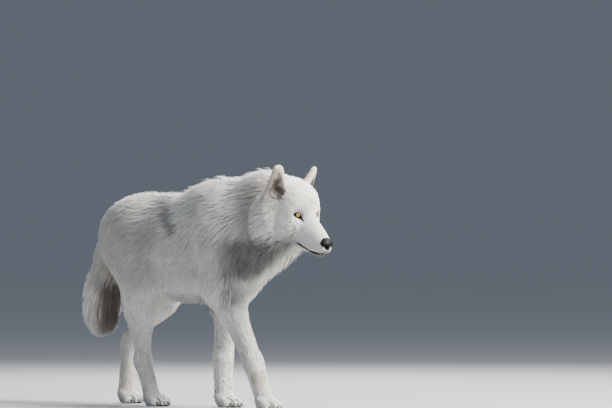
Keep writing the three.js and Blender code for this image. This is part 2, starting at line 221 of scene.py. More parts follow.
@dataclass(frozen=True)
class Form:
    """A named mass or limb that the body is blended from."""

    name: str
    area: Area
    pelt: Pelt
    blend: float
    lie: Triple
    axes: Axes
    carve: bool = False

    def distance(self, points: Array, inset: float) -> Array:
        """Distance to the form drawn in by an inset. Each kind has its own."""
        raise NotImplementedError

    def reach(self) -> tuple[Array, float]:
        """The middle and radius of a ball that holds the form. Each kind has its own."""
        raise NotImplementedError

    def near(self, points: Array) -> Array:
        """Which places are close enough for the form to matter."""
        middle, radius = self.reach()
        apart = ((points - middle.astype(points.dtype)) ** 2).sum(-1)
        return apart < (radius + self.blend + NEAR) ** 2

    @property
    def lay(self) -> Array:
        """The way the hair lies here, as a direction of the shared frame."""
        return unit(self.axes.direction(*self.lie))

    def skin_inset(self) -> float:
        """How far the skin lies inside this form."""
        return -1.5 if self.carve else self.pelt.depth


@dataclass(frozen=True)
class Mass(Form):
    """An egg-shaped mass."""

    radii: Triple = (1.0, 1.0, 1.0)
    place: Axes = BODY

    def reach(self) -> tuple[Array, float]:
        """The middle and radius of a ball that holds the egg."""
        return self.place.origin, max(self.radii)

    def distance(self, points: Array, inset: float) -> Array:
        """Distance to the egg.

        Args:
            points: Places in the shared frame.
            inset: How far each radius is drawn in.
        Returns:
            One distance per place, negative inside.
        """
        forward, right, up = (max(radius - inset, 2.0) for radius in self.radii)
        size = np.array([right, forward, up], dtype=points.dtype)
        scaled = self.place.local(points) / size
        near = np.sqrt((scaled**2).sum(-1))
        slope = np.sqrt(((scaled / size) ** 2).sum(-1))
        return near * (near - 1.0) / np.maximum(slope, 1e-6)


@dataclass(frozen=True)
class Limb(Form):
    """A cone with round ends, its width across the body scaled."""

    start: Triple = (0.0, 0.0, 0.0)
    end: Triple = (1.0, 0.0, 0.0)
    radii: tuple[float, float] = (1.0, 1.0)
    width: float = 1.0

    def reach(self) -> tuple[Array, float]:
        """The middle and radius of a ball that holds the cone."""
        ends = np.array([[right, forward, up] for forward, right, up in (self.start, self.end)])
        half = np.linalg.norm(ends[1] - ends[0]) / 2.0
        return self.axes.world(ends.mean(0)), half + max(self.radii) * max(self.width, 1.0)

    def distance(self, points: Array, inset: float) -> Array:
        """Distance to the cone.

        Args:
            points: Places in the shared frame.
            inset: How far both radii are drawn in.
        Returns:
            One distance per place, negative inside.
        """
        middle = (self.start[1] + self.end[1]) / 2.0
        squeeze = np.array([1.0 / self.width, 1.0, 1.0])

        def squeezed(place: Triple) -> Array:
            """A place as right, forward, up with its width evened out."""
            return np.array([place[1] - middle, place[0], place[2]]) * squeeze

        first = squeezed(self.start)
        axis = squeezed(self.end) - first
        radius_a, radius_b = (max(radius - inset, 1.5) for radius in self.radii)
        shift = np.array([middle, 0.0, 0.0])
        kind = points.dtype
        p = (self.axes.local(points) - shift.astype(kind)) * squeeze.astype(kind) - first.astype(kind)
        l2 = float(axis @ axis)
        rr = radius_a - radius_b
        a2 = l2 - rr * rr
        along = p @ axis.astype(points.dtype)
        beyond = along - l2
        x2 = np.maximum((p * p).sum(-1) * l2 - along * along, 0.0) * l2
        y2 = along * along * l2
        z2 = beyond * beyond * l2
        k = math.copysign(1.0, rr) * rr * rr * x2
        side = (np.sqrt(x2 * a2 / l2) + along * rr) / l2 - radius_a
        tip = np.sqrt(x2 + z2) / l2 - radius_b
        root = np.sqrt(x2 + y2) / l2 - radius_a
        near_root = np.where(np.sign(along) * a2 * y2 < k, root, side)
        return np.where(np.sign(beyond) * a2 * z2 > k, tip, near_root)


def mass(
    name: str,
    area: Area,
    pelt: Pelt,
    centre: Triple,
    radii: Triple,
    blend: float,
    lie: Triple,
    axes: Axes = BODY,
    turn: float = 0.0,
    pitch: float = 0.0,
    carve: bool = False,
) -> Mass:
    """An egg-shaped form.

    Args:
        name: What it is called.
        area: The coat part that covers it.
        pelt: How its hair grows.
        centre: Its middle as forward, right, up.
        radii: Its radii as forward, right, up.
        blend: How wide it blends into the rest.
        lie: The way its hair lies, as forward, right, up.
        axes: The frame it stands in.
        turn: Its own turn in degrees.
        pitch: Its own pitch in degrees.
        carve: Whether it is cut away instead of added.
    Returns:
        The form.
    """
    return Mass(name, area, pelt, blend, lie, axes, carve, radii, axes.at(centre, turn, pitch))


def limb(
    name: str,
    area: Area,
    pelt: Pelt,
    ends: tuple[Triple, Triple],
    radii: tuple[float, float],
    blend: float,
    width: float = 1.0,
    axes: Axes = BODY,
    lie: Triple | None = None,
    carve: bool = False,
) -> Limb:
    """A cone-shaped form whose hair lies along it unless lie says otherwise.

    Args:
        name: What it is called.
        area: The coat part that covers it.
        pelt: How its hair grows.
        ends: Its start and end as forward, right, up.
        radii: Its radius at each end.
        blend: How wide it blends into the rest.
        width: Its scale across the body.
        axes: The frame it stands in.
        lie: The way its hair lies, as forward, right, up.
        carve: Whether it is cut away instead of added.
    Returns:
        The form.
    """
    start, end = ends
    along = lie or tuple(b - a for a, b in zip(start, end))
    return Limb(name, area, pelt, blend, along, axes, carve, start, end, radii, width)


@dataclass(frozen=True)
class Branch:
    """Forms folded together in order, then blended into the core of the body."""

    forms: list[Form]
    blend: float

    def distance(self, points: Array, skin: bool) -> Array:
        """Distance to the folded forms.

        Args:
            points: Places in the shared frame.
            skin: Whether each form is drawn in by its coat.
        Returns:
            One distance per place.
        """
        total = np.full(len(points), FAR, dtype=points.dtype)
        for form in self.forms:
            close = form.near(points)
            if not close.any():
                continue
            near = form.distance(points[close], form.skin_inset() if skin else 0.0)
            if form.carve:
                total[close] = -merge(-total[close], near, form.blend)
            else:
                total[close] = merge(total[close], near, form.blend)
        return total


def merge(a: Array, b: Array, blend: float) -> Array:
    """Smooth union of two distances.

    Args:
        a: First distance.
        b: Second distance.
        blend: Width of the band in which they blend.
    Returns:
        The joined distance.
    """
    h = np.maximum(blend - np.abs(a - b), 0.0) / blend
    return np.minimum(a, b) - h * h * blend / 4.0


@dataclass(frozen=True)
class Leg:
    """The joints of one leg as forward, right, up, and the length of its toes."""

    name: str
    joints: list[Triple]
    toe: float

    TOE_SPREAD = 17.5
    TOE_SHORT = 0.72

    @property
    def side(self) -> float:
        """1 for a right leg and -1 for a left one."""
        return 1.0 if self.name.endswith("right") else -1.0

    @property
    def fore(self) -> bool:
        """Whether this is a foreleg."""
        return self.name.startswith("foreleg")

    @property
    def knuckle(self) -> Triple:
        """Where the toes start."""
        return self.joints[-1]

    def toe_tips(self) -> list[Triple]:
        """Middles of the four toe tips."""
        forward, right, _ = self.knuckle
        return [
            (forward + self.toe * (self.TOE_SHORT if abs(i) > 1 else 1.0), right + i * self.TOE_SPREAD, 12.0)
            for i in (-1.5, -0.5, 0.5, 1.5)
        ]

    def paw(self) -> list[Form]:
        """Forms of the paw, from the knuckle forward to the toe tips."""
        forward, right, _ = self.knuckle
        area = Area.FORELEG if self.fore else Area.SHANK
        forms: list[Form] = [
            mass("pad", area, FOOT, (forward + 8, right, 16), (34, 29, 20), 14, (1, 0, -0.4)),
        ]
        for tip in self.toe_tips():
            root = (forward, right + (tip[1] - right) * 0.6, 33.0)
            forms.append(limb("toe", area, FOOT, (root, tip), (19, 15.5), 3.5))
        return forms

    def forms(self) -> list[Form]:
        """Every form of the leg, from the shoulder or hip down."""
        if self.fore:
            shoulder, elbow, forearm, wrist, knuckle = self.joints
            upper = [
                mass("shoulder", Area.SHOULDER, BELLY, shoulder, (92, 56, 150), 70, (-0.5, 0, -1), pitch=-12),
                limb("upper_arm", Area.SHOULDER, UPPER_LEG, (shoulder, elbow), (70, 60), 60, 0.8,
                     lie=(-0.35, 0, -1)),
                limb("elbow", Area.FORELEG, ELBOW, (elbow, forearm), (60, 47), 40, 0.85,
                     lie=(-0.3, 0, -1)),
                limb("forearm", Area.FORELEG, LOWER_LEG, (forearm, wrist), (45, 31), 30, 0.85),
                limb("pastern", Area.FORELEG, PASTERN, (wrist, knuckle), (33, 30), 20, 0.95),
            ]
            return upper + self.paw()
        hip, stifle, calf, hock, heel, knuckle = self.joints
        upper = [
            limb("thigh", Area.THIGH, THIGH, (hip, stifle), (118, 74), 70, 0.62,
                 lie=(-0.5, 0, -0.9)),
            limb("calf", Area.THIGH, CALF, (stifle, calf), (74, 62), 50, 0.66,
                 lie=(-0.45, 0, -1)),
            limb("shank", Area.SHANK, LOWER_LEG, (calf, hock), (47, 25), 40, 0.85),
            limb("heel", Area.SHANK, HEEL, (hock, heel), (27, 20), 16, lie=(-0.2, 0, -1)),
            limb("metatarsus", Area.SHANK, METATARSUS, (hock, knuckle), (29, 28), 18, 0.9),
        ]
        return upper + self.paw()


LEGS = [
    Leg("foreleg_right", [(255, 72, 560), (285, 70, 400), (320, 62, 330), (420, 52, 155), (472, 50, 42)], 64),
    Leg("foreleg_left", [(215, -72, 560), (165, -70, 400), (148, -62, 330), (128, -58, 160),
                         (132, -56, 42)], 70),
    Leg("hindleg_right", [(-225, 62, 560), (-118, 82, 375), (-144, 78, 330), (-145, 66, 150),
                          (-160, 66, 152), (-103, 62, 40)], 62),
    Leg("hindleg_left", [(-235, -62, 560), (-216, -76, 388), (-266, -74, 338), (-378, -64, 206),
                         (-392, -64, 208), (-396, -60, 46)], 60),
]
SIDES = (1.0, -1.0)


@dataclass
class EyeSet:
    """Where an eye sits in the head and the shape of its lids."""

    side: float
    radius: float = 12.0
    spacing: float = 36.0
    setback: float = 9.5
    lid: float = 2.0
    half_width: float = 10.8
    half_height: float = 6.8
    outward: float = 35.0
    slant: float = 17.0
    gaze_turn: float = 37.0

    @property
    def rim_width(self) -> float:
        """How broad the black rim is: the left eye's is broader."""
        return 1.0 if self.side > 0.0 else 1.8

    @property
    def centre(self) -> Array:
        """Middle of the eyeball in the shared frame."""
        return HEAD.world(np.array([self.spacing * self.side, -self.setback, 0.0]))

    def axis(self, turn: float) -> Array:
        """A level direction turned outward from the head's forward by some degrees."""
        angle = math.radians(turn)
        return HEAD.direction(math.cos(angle), math.sin(angle) * self.side, 0.0)

    def opening(self) -> tuple[Array, Array, Array]:
        """The opening's axes: outward, along the lids to the outer corner, and across them."""
        out = self.axis(self.outward)
        up = HEAD.direction(0.0, 0.0, 1.0)
        along = unit(np.cross(up, out)) * self.side
        along = along * np.sign(along @ HEAD.direction(-1.0, self.side, 0.0))
        tilt = math.radians(self.slant)
        along = along * math.cos(tilt) + up * math.sin(tilt)
        across = unit(np.cross(out, along))
        return out, along, across * np.sign(across @ up)

    def lid_place(self, points: Array) -> tuple[Array, Array, Array]:
        """Places as seen from the eye: out, along the lids and across them."""
        offset = points - self.centre
        out, along, across = self.opening()
        return offset @ out, offset @ along, offset @ across

    def rim(self, points: Array) -> Array:
        """Rough distance outside the lids' opening, negative within it."""
        _, along, across = self.lid_place(points)
        wide, high = along / self.half_width, (across + 0.035 * along**2 * 0.6) / self.half_height
        return (np.sqrt(wide**2 + high**2) - 1.0) * (self.half_height + 1.2)

    def tear(self, points: Array) -> Array:
        """Distance to the dark mark that runs from the inner corner towards the nose."""
        _, along, across = self.lid_place(points)
        start, run = -self.half_width + 2.0, 13.0
        t = np.clip((start - along) / run, 0.0, 1.0)
        return np.hypot(along - (start - run * t), across + 1.2 + 5.0 * t)


EYES = [EyeSet(side) for side in SIDES]


class Body:
    """The wolf's forms, its skin and the outside of its coat as distance fields."""

    CUT = 0.0  # the floor

    def __init__(self) -> None:
        """Gathers the trunk, neck and head into a core and the rest into branches."""
        back, lower = (-1.0, 0.0, -0.42), (-0.75, 0.0, -0.6)
        core: list[Form] = [
            mass("chest", Area.SHOULDER, BACK, (115, 0, 530), (235, 138, 180), 60, (-0.8, 0, -0.75)),
            mass("withers", Area.SHOULDER, BACK, (180, 0, 637), (155, 82, 100), 60, (-1, 0, -0.55)),
            mass("breast", Area.SHOULDER, THROAT, (208, 0, 455), (132, 92, 118), 60, (-0.2, 0, -1)),
            mass("belly", Area.FLANK, BELLY, (-65, 0, 530), (235, 130, 178), 70, lower),
            mass("rump", Area.RUMP, RUMP, (-228, 0, 572), (158, 116, 140), 70, back),
            limb("neck", Area.NECK, MANE, ((190, 0, 585), (410, -5, 625)), (158, 122), 60, 0.78,
                 lie=(-0.75, 0, -0.7)),
            limb("mane", Area.NECK, MANE, ((190, 0, 672), (440, -6, 711)), (68, 74), 50, 0.85,
                 lie=(-1, 0, -0.35)),
            limb("nape", Area.NECK, NAPE, ((420, -6, 708), (512, -12, 690)), (74, 64), 40, 0.88,
                 lie=(-1, 0, -0.2)),
            limb("throat", Area.NECK, THROAT, ((250, 0, 478), (480, -10, 553)), (108, 80), 60, 0.8,
                 lie=(-0.55, 0, -0.85)),
            mass("cranium", Area.FACE, CROWN, (-75, 0, 19), (88, 74, 69), 30, (-1, 0, 0.05), HEAD),
        ]
        for s in SIDES:
            core += [
                mass("brow", Area.FACE, FACE, (-34, 31 * s, 2), (37, 38, 34), 18, (-1, 0.25 * s, 0.35), HEAD),
                mass("cheek", Area.FACE, CHEEK, (-45, 44 * s, -48), (58, 40, 60), 24,
                     (-1, 0.25 * s, -0.55), HEAD),
                mass("ruff", Area.RUFF, RUFF, (-98, 60 * s, -78), (56, 52, 80), 20,
                     (-0.55, 0.35 * s, -0.8), HEAD, pitch=-18),
                mass("ear_base", Area.RUFF, CHEEK, (-106, 58 * s, -10), (42, 31, 36), 20,
                     (-0.8, 0.3 * s, -0.5), HEAD),
            ]
        core += [
            limb("bridge", Area.FACE, FACE, ((-8, 0, -4), (76, 0, -42)), (28, 25), 18, 0.76, HEAD,
                 lie=(-1, 0, 0.35)),
            limb("muzzle", Area.FACE, MUZZLE, ((15, 0, -46), (112, 0, -58)), (43, 28), 22, 0.9, HEAD,
                 lie=(-1, 0, -0.12)),
            limb("jaw", Area.FACE, MUZZLE, ((0, 0, -85), (103, 0, -82)), (27, 18), 12, 1.25, HEAD,
                 lie=(-1, 0, -0.1)),
            limb("gullet", Area.RUFF, GULLET, ((-15, 0, -95), (-140, 0, -90)), (32, 75), 30,
                 axes=HEAD, lie=(-0.9, 0, -0.6)),
        ]
        for s in SIDES:
            core.append(mass("orbit", Area.FACE, FACE, (6, 47 * s, -1), (19, 14, 12), 12, (-1, 0, 0), HEAD,
                             turn=32 * s, carve=True))
        self.core = Branch(core, 0.0)
        self.branches = [Branch(leg.forms(), 50.0) for leg in LEGS]
        self.branches.append(Branch(self.tail_forms(), 40.0))
        self.branches += [Branch(self.ear_forms(s), 12.0) for s in SIDES]
        self.forms = [form for branch in [self.core, *self.branches] for form in branch.forms]

    @staticmethod
    def tail_forms() -> list[Form]:
        """The tail, hanging in three lengths."""
        return [
            limb("tail_root", Area.TAIL, TAIL_ROOT, ((-338, 0, 612), (-397, 0, 500)), (40, 48), 50),
            limb("tail_brush", Area.TAIL, BRUSH, ((-397, 0, 500), (-445, 0, 380)), (48, 58), 40),
            limb("tail_tip", Area.TAIL, BRUSH, ((-445, 0, 380), (-452, 0, 294)), (58, 60), 30),
        ]

    @staticmethod
    def ear_axes(s: float) -> Axes:
        """Where an ear stands, with forward along its opening."""
        return HEAD.at((-103, 62 * s, 22), turn=-62 * s)

    @classmethod
    def ear_forms(cls, s: float) -> list[Form]:
        """One ear: a shell and the cup cut into its front."""
        axes = cls.ear_axes(s)
        lean, height = (-21, 88) if s > 0 else (-26, 82)
        cup = ((-4, 19 * s, 24), (lean + 2, 15 * s, height - 12))
        return [
            limb("shell", Area.EAR, EAR, ((0, 0, 0), (lean, s, height)), (42, 18), 14, 0.56, axes),
            limb("cup", Area.EAR, EAR, cup, (25, 9), 6, 0.6, axes, carve=True),
        ]

    def distance(self, points: Array, skin: bool) -> Array:
        """Distance to the skin or to the outside of the coat.

        Args:
            points: Places in the shared frame.
            skin: True for the skin.
        Returns:
            One distance per place, negative inside.
        """
        core = self.core.distance(points, skin)
        if skin:
            head = np.linalg.norm(points - HEAD.origin.astype(points.dtype), axis=-1) < 200.0
            if head.any():
                core[head] = self.shape_face(points[head], core[head])
        nearest = core
        for branch in self.branches:
            nearest = np.minimum(nearest, merge(core, branch.distance(points, skin), branch.blend))
        if skin:
            if head.any():
                nearest[head] = self.open_lids(points[head], nearest[head])
                nearest[head] = self.hollow_ears(points[head], nearest[head])
            nearest = np.maximum(nearest, self.CUT - points[..., 2])
        return nearest

    @staticmethod
    def shape_face(points: Array, distance: Array) -> Array:
        """The skin with lids round the eyeballs and a hollow in which the nose leather sits."""
        for eye in EYES:
            lid = np.linalg.norm(points - eye.centre.astype(points.dtype), axis=-1)
            distance = merge(distance, lid - (eye.radius + eye.lid), 7.0)
        local = HEAD.local(points) - np.array(NOSE_SEAT)
        scaled = local / np.array([20.0, 12.0, 18.0])
        near = np.sqrt((scaled**2).sum(-1))
        hollow = (near - 1.0) * 12.0
        return -merge(-distance, hollow, 5.0)

    @staticmethod
    def open_lids(points: Array, distance: Array) -> Array:
        """The skin with both eye openings cut down past the eyeballs."""
        for eye in EYES:
            out, _, _ = eye.lid_place(points)
            depth = eye.radius * 0.62 - out
            cut = np.maximum(eye.rim(points), depth)
            distance = -merge(-distance, cut, 1.2)
        return distance

    @classmethod
    def hollow_ears(cls, points: Array, distance: Array) -> Array:
        """The skin with the cup of each ear cut on down into the head."""
        for s in SIDES:
            cup = cls.ear_forms(s)[1]
            distance = -merge(-distance, cup.distance(points, cup.skin_inset()), cup.blend)
        return distance

    def slope(self, points: Array, skin: bool, here: Array | None = None) -> Array:
        """Direction in which the distance grows.

        Args:
            points: Places in the shared frame.
            skin: True for the skin's field.
            here: The distance at the places, if it is known.
        Returns:
            The gradient at each place.
        """
        step = 0.4
        base = self.distance(points, skin) if here is None else here
        columns = []
        for axis in range(3):
            moved = points.copy()
            moved[:, axis] += step
            columns.append((self.distance(moved, skin) - base) / step)
        return np.stack(columns, 1)

    def shares(self, points: Array) -> Array:
        """How much each form has a say at each place.

        Args:
            points: Places in the shared frame.
        Returns:
            Places by forms, each row summing to one; carved forms count for nothing.
        """
        near = np.full((len(points), len(self.forms)), FAR, dtype=np.float32)
        for i, form in enumerate(self.forms):
            close = form.near(points)
            if not form.carve and close.any():
                near[close, i] = form.distance(points[close], 0.0)
        near -= near.min(1, keepdims=True)
        soft = np.array([max(4.0, form.blend * 0.2) for form in self.forms])
        weight = np.exp(-near / soft)
        return weight / weight.sum(1, keepdims=True)


# ---- markings


def band(value: Array, rise: tuple[float, float], fall: tuple[float, float]) -> Array:
    """One between two soft ends.

    Args:
        value: What is stepped.
        rise: Where it is still 0, and where it is first 1.
        fall: Where it is 0 again, and where it is last 1.
    Returns:
        The band for each value.
    """
    return smoothstep(*rise, value) * smoothstep(*fall, value)


@dataclass(frozen=True)
class Streak:
    """A soft mark on both sides along a line, given as forward, right, up, with its half width."""

    start: Triple
    end: Triple
    width: tuple[float, float]
    core: float = 0.2

    def cover(self, places: Array) -> Array:
        """How strongly the mark takes each place: fully within its core, not at all past its width.

        Args:
            places: Right, forward, up in the body or the head.
        Returns:
            From 0 to 1 for each.
        """
        right, forward, up = places.T
        folded = np.stack([forward, np.abs(right), up], 1)
        a, b = np.array(self.start), np.array(self.end)
        t = np.clip((folded - a) @ (b - a) / ((b - a) @ (b - a)), 0.0, 1.0)
        near = np.linalg.norm(folded - a - t[:, None] * (b - a), axis=1)
        first, last = self.width
        return smoothstep(1.0, self.core, near / (first + (last - first) * t))


@dataclass(frozen=True)
class Markings:
    """The colours of the coat and bare skin, and where each lies."""

    white: Triple = (0.88, 0.86, 0.825)
    cream: Triple = (0.74, 0.61, 0.43)
    # grey: painted shade on the body and inside the legs; on the jowls and in the ear cups, their own grey
    # with painted shade
    grey: Triple = (0.40, 0.39, 0.375)
    # shade: the colour of painted shade and shadow behind the ruff, on the throat, between the toes, under
    # the nose and on the chin
    shade: Triple = (0.155, 0.155, 0.15)
    olive: Triple = (0.37, 0.355, 0.32)
    tan: Triple = (0.56, 0.48, 0.39)
    dark: Triple = (0.055, 0.05, 0.048)
    brown: Triple = (0.075, 0.052, 0.042)
    black: Triple = (0.012, 0.011, 0.011)
    # inner_ear: the cups' own dark with painted shade at their back and bottom
    inner_ear: Triple = (0.085, 0.065, 0.05)
    # loin: a dark streak of guard hairs with painted shadow in a parting of the fur
    loin: Streak = Streak((-60.0, 50.0, 690.0), (96.0, 126.0, 592.0), (54.0, 38.0))
    elbow: Streak = Streak((312.0, 80.0, 446.0), (342.0, 88.0, 352.0), (46.0, 46.0), 0.4)
    ribs: Streak = Streak((150.0, 120.0, 560.0), (205.0, 118.0, 450.0), (50.0, 50.0))
    eye_corner: Streak = Streak((-6.0, 52.0, 7.0), (-44.0, 64.0, -18.0), (7.0, 7.0), 1.0 / 7.0)
    ruff: Streak = Streak((-76.0, 76.0, -48.0), (-128.0, 90.0, -104.0), (16.0, 16.0), 3.0 / 16.0)
    face_middle: Triple = (0.0, -45.0, -35.0)
    # breast_line: the sunlit line down the breast, kept white between the painted shade and shadow
    breast_line: float = -8.0

    @staticmethod
    def tint(colour: Array, other: Triple, amount: Array) -> Array:
        """Colours moved towards another by an amount from 0 to 1."""
        share = np.clip(amount, 0.0, 1.0)[:, None]
        return colour * (1.0 - share) + np.array(other) * share

    def coat(self, points: Array) -> Array:
        """Colour of the hair that grows at each place.

        Args:
            points: Places on the skin, in the shared frame.
        Returns:
            Linear red, green and blue for each.
        """
        body, head = BODY.local(points), HEAD.local(points)
        colour = np.tile(np.array(self.white), (len(points), 1))
        fine, broad = waves(points, 34.0, 1.3), waves(points, 150.0, 4.1)
        ragged = 0.5 + 0.5 * waves(points, 11.0, 0.4)
        from_face = np.linalg.norm(head - np.array(self.face_middle), axis=1)
        colour = self.neck(colour, body, from_face, 0.50 + 0.10 * broad + 0.12 * fine)
        colour = self.trunk(colour, body, fine, broad)
        # loin streak: dark guard hairs and painted shadow in a parting of the fur
        colour = self.tint(colour, self.dark, (0.45 + 0.5 * ragged) * self.loin.cover(body))
        colour = self.tint(colour, self.dark, ragged * self.elbow.cover(body))
        colour = self.tint(colour, self.olive, 0.75 * ragged * self.ribs.cover(body))
        colour = self.underside(colour, body, fine, broad)
        colour = self.legs(colour, body)
        colour = self.tail(colour, body)
        streaks = 0.55 + 0.45 * waves(points, 13.0, 2.2)
        colour = self.face(colour, head, streaks)
        colour = self.ears(colour, points, streaks)
        colour = self.lids(colour, points)
        return self.mouth(colour, head)

    def neck(self, colour: Array, body: Array, from_face: Array, strength: Array) -> Array:
        """Adds painted shade: the grey over all but the face, legs and breast, which are left lit, and the
        darker shade behind the ruff.
        """
        right, forward, up = body.T
        off_line = np.abs(right - self.breast_line)
        # painted shade: grey over the body and neck, which stand in shade while the head, legs and the line
        # down the breast are lit
        away = smoothstep(128.0, 162.0, from_face) * smoothstep(330.0, 450.0, up)
        away = away * np.maximum(smoothstep(430.0, 330.0, forward), smoothstep(14.0, 44.0, off_line))
        colour = self.tint(colour, self.grey, away * strength)
        # painted shade in a band on the neck just behind the ruff
        behind = band(from_face, (134.0, 150.0), (225.0, 160.0)) * smoothstep(780.0, 690.0, up)
        behind = behind * away * smoothstep(30.0, 60.0, off_line)
        return self.tint(colour, self.shade, 0.55 * behind)

    def trunk(self, colour: Array, body: Array, fine: Array, broad: Array) -> Array:
        """Adds the olive of the hindquarters and the saddle, and in the hollow of the flank olive that is
        partly darker fur and partly painted shade.
        """
        _, forward, up = body.T
        rear = smoothstep(90.0, -120.0, forward) * smoothstep(360.0, 500.0, up)
        colour = self.tint(colour, self.olive, rear * (0.50 + 0.22 * broad + 0.14 * fine))
        saddle = smoothstep(560.0, 690.0, up) * smoothstep(330.0, 120.0, forward)
        colour = self.tint(colour, self.olive, saddle * (0.10 + 0.10 * fine))
        # the flank's hollow: darker fur, deepened as painted shade
        groove = smoothstep(95.0, 20.0, np.abs(forward + 60.0 - (up - 520.0) * 0.25))
        groove = groove * band(up, (350.0, 420.0), (640.0, 560.0))
        return self.tint(colour, self.olive, groove * (0.30 + 0.15 * fine))

    def underside(self, colour: Array, body: Array, fine: Array, broad: Array) -> Array:
        """Adds the brown of the belly with painted shade under it, and painted shadow cast by the head on
        both sides of the throat.
        """
        right, forward, up = body.T
        # the belly's own brown, deepened as painted shade under the belly
        under = band(up, (285.0, 325.0), (400.0, 345.0)) * band(forward, (-60.0, 40.0), (300.0, 200.0))
        under = under * smoothstep(105.0, 70.0, np.abs(right))
        colour = self.tint(colour, self.brown, 0.75 * under)
        # painted shadow cast by the head on both sides of the throat, with the lit breast line left white
        throat = band(forward, (290.0, 370.0), (650.0, 590.0)) * band(up, (410.0, 455.0), (580.0, 536.0))
        throat = throat * smoothstep(14.0, 36.0, np.abs(right - self.breast_line))
        colour = self.tint(colour, self.shade, 0.95 * throat * (0.88 + 0.12 * fine))
        return self.tint(colour, self.dark, 0.42 * throat * (0.7 + 0.3 * broad))

    def legs(self, colour: Array, body: Array) -> Array:
        """Adds the faint stain on the right pastern, the shade between the toes and inside the legs."""
        right, forward, up = body.T
        stain = smoothstep(34.0, 12.0, np.hypot(forward - 468.0, (up - 102.0) * 0.8)) * (right > 0)
        colour = self.tint(colour, self.tan, 0.7 * stain)
        for leg in LEGS:
            ahead, middle = forward - leg.knuckle[0], leg.knuckle[1]
            t = np.clip(ahead / leg.toe, 0.0, 1.0)
            aside = (right - middle) / (leg.TOE_SPREAD * (0.6 + 0.4 * t))
            on_paw = (np.abs(aside) < 1.3) & (np.abs(ahead - 45.0) < 55.0) & (right * middle > 0)
            # painted shade between the toes
            toe_gap_shade = smoothstep(0.24, 0.06, np.abs(aside - np.round(aside)))
            toe_gap_shade = toe_gap_shade * smoothstep(0.30, 0.55, t) * smoothstep(42.0, 24.0, up)
            colour = self.tint(colour, self.shade, 0.9 * toe_gap_shade * on_paw)
        # painted shade inside the legs
        inner = smoothstep(62.0, 40.0, np.abs(right)) * band(up, (120.0, 230.0), (430.0, 330.0))
        return self.tint(colour, self.grey, 0.25 * inner)

    def tail(self, colour: Array, body: Array) -> Array:
        """Adds the dark brown underside of the hanging tail: its own dark hair, deepened as painted shade
        where it faces the thighs.
        """
        right, forward, up = body.T
        behind = forward - np.interp(up, [294.0, 380.0, 500.0, 612.0], [-452.0, -445.0, -397.0, -338.0])
        lean = behind - 0.9 * np.abs(right) + 15.0 * waves(body, 17.0, 2.6)
        on_tail = (forward < -330.0) & (up < 560.0) & (np.abs(right) < 75.0) & (behind < 90.0)
        # dark underside: own dark hair with painted shade where the tail faces the thighs
        dark = smoothstep(-40.0, 24.0, lean) * band(up, (226.0, 250.0), (450.0, 375.0))
        colour = self.tint(colour, self.brown, 0.88 * dark * on_tail)
        fringe = smoothstep(-60.0, -10.0, lean) * smoothstep(520.0, 430.0, up) * on_tail
        return self.tint(colour, self.tan, 0.35 * fringe * (1.0 - dark))

    @staticmethod
    def on_head(head: Array) -> Array:
        """Which places are on or near the head, given in its own frame."""
        return np.linalg.norm(head - np.array([0.0, -40.0, -20.0]), axis=1) < 190.0

    def face(self, colour: Array, head: Array, streaks: Array) -> Array:
        """Adds the cream of the temples and ruff, the tan of the bridge, and the grey of the jowls, which is
        their own grey with painted shade under the cheeks.
        """
        right, forward, up = head.T
        aside, on_head = np.abs(right), self.on_head(head)
        temple = smoothstep(-20.0, -60.0, forward) * smoothstep(-60.0, -10.0, up)
        temple = temple * smoothstep(34.0, 60.0, aside)
        colour = self.tint(colour, self.cream, 0.38 * temple * streaks * on_head)
        bridge = smoothstep(26.0, 8.0, aside) * smoothstep(0.0, 50.0, forward) * smoothstep(-64.0, -40.0, up)
        colour = self.tint(colour, self.tan, 0.16 * bridge * on_head)
        # the jowls' own grey with painted shade under the cheek
        jowl_grey_and_shade = smoothstep(-50.0, -84.0, up) * smoothstep(-70.0, -10.0, forward)
        jowl_grey_and_shade = jowl_grey_and_shade * smoothstep(14.0, 26.0, aside)
        colour = self.tint(colour, self.grey, 0.42 * jowl_grey_and_shade * streaks * on_head)
        colour = self.tint(colour, self.tan, 0.45 * self.eye_corner.cover(head) * on_head)
        return self.tint(colour, self.cream, 0.34 * self.ruff.cover(head))

    def ears(self, colour: Array, points: Array, streaks: Array) -> Array:
        """Adds the cream of the ears and the dark of their cups, white along the front edge; the cups' dark
        is their own colour deepened by painted shade at the back and bottom.
        """
        for s in SIDES:
            shell, hollow = Body.ear_forms(s)
            _, forward, up = Body.ear_axes(s).local(points).T
            on_ear = smoothstep(16.0, 2.0, shell.distance(points, 0.0)) * smoothstep(6.0, 24.0, up)
            colour = self.tint(colour, self.cream, 0.50 * on_ear * (0.7 + 0.3 * streaks))
            cup = hollow.distance(points, hollow.skin_inset())
            inside = smoothstep(4.0, -0.5, cup) * (up > 4.0)
            inside = np.maximum(inside, smoothstep(7.0, 2.5, cup) * smoothstep(34.0, 24.0, up))
            colour = self.tint(colour, self.grey, inside * 0.85)
            # painted shade, deepest at the back and bottom of the cup
            rear = smoothstep(2.0, -9.0, forward + 2.0) * smoothstep(76.0, 52.0, up)
            deep = np.maximum(rear, smoothstep(46.0, 30.0, up)) * (0.7 + 0.3 * smoothstep(12.0, 28.0, up))
            colour = self.tint(colour, self.inner_ear, inside * deep)
            edge = smoothstep(0.0, 9.0, forward - 1.0) * smoothstep(36.0, 50.0, up)
            colour = self.tint(colour, self.white, inside * edge * 0.7)
        return colour

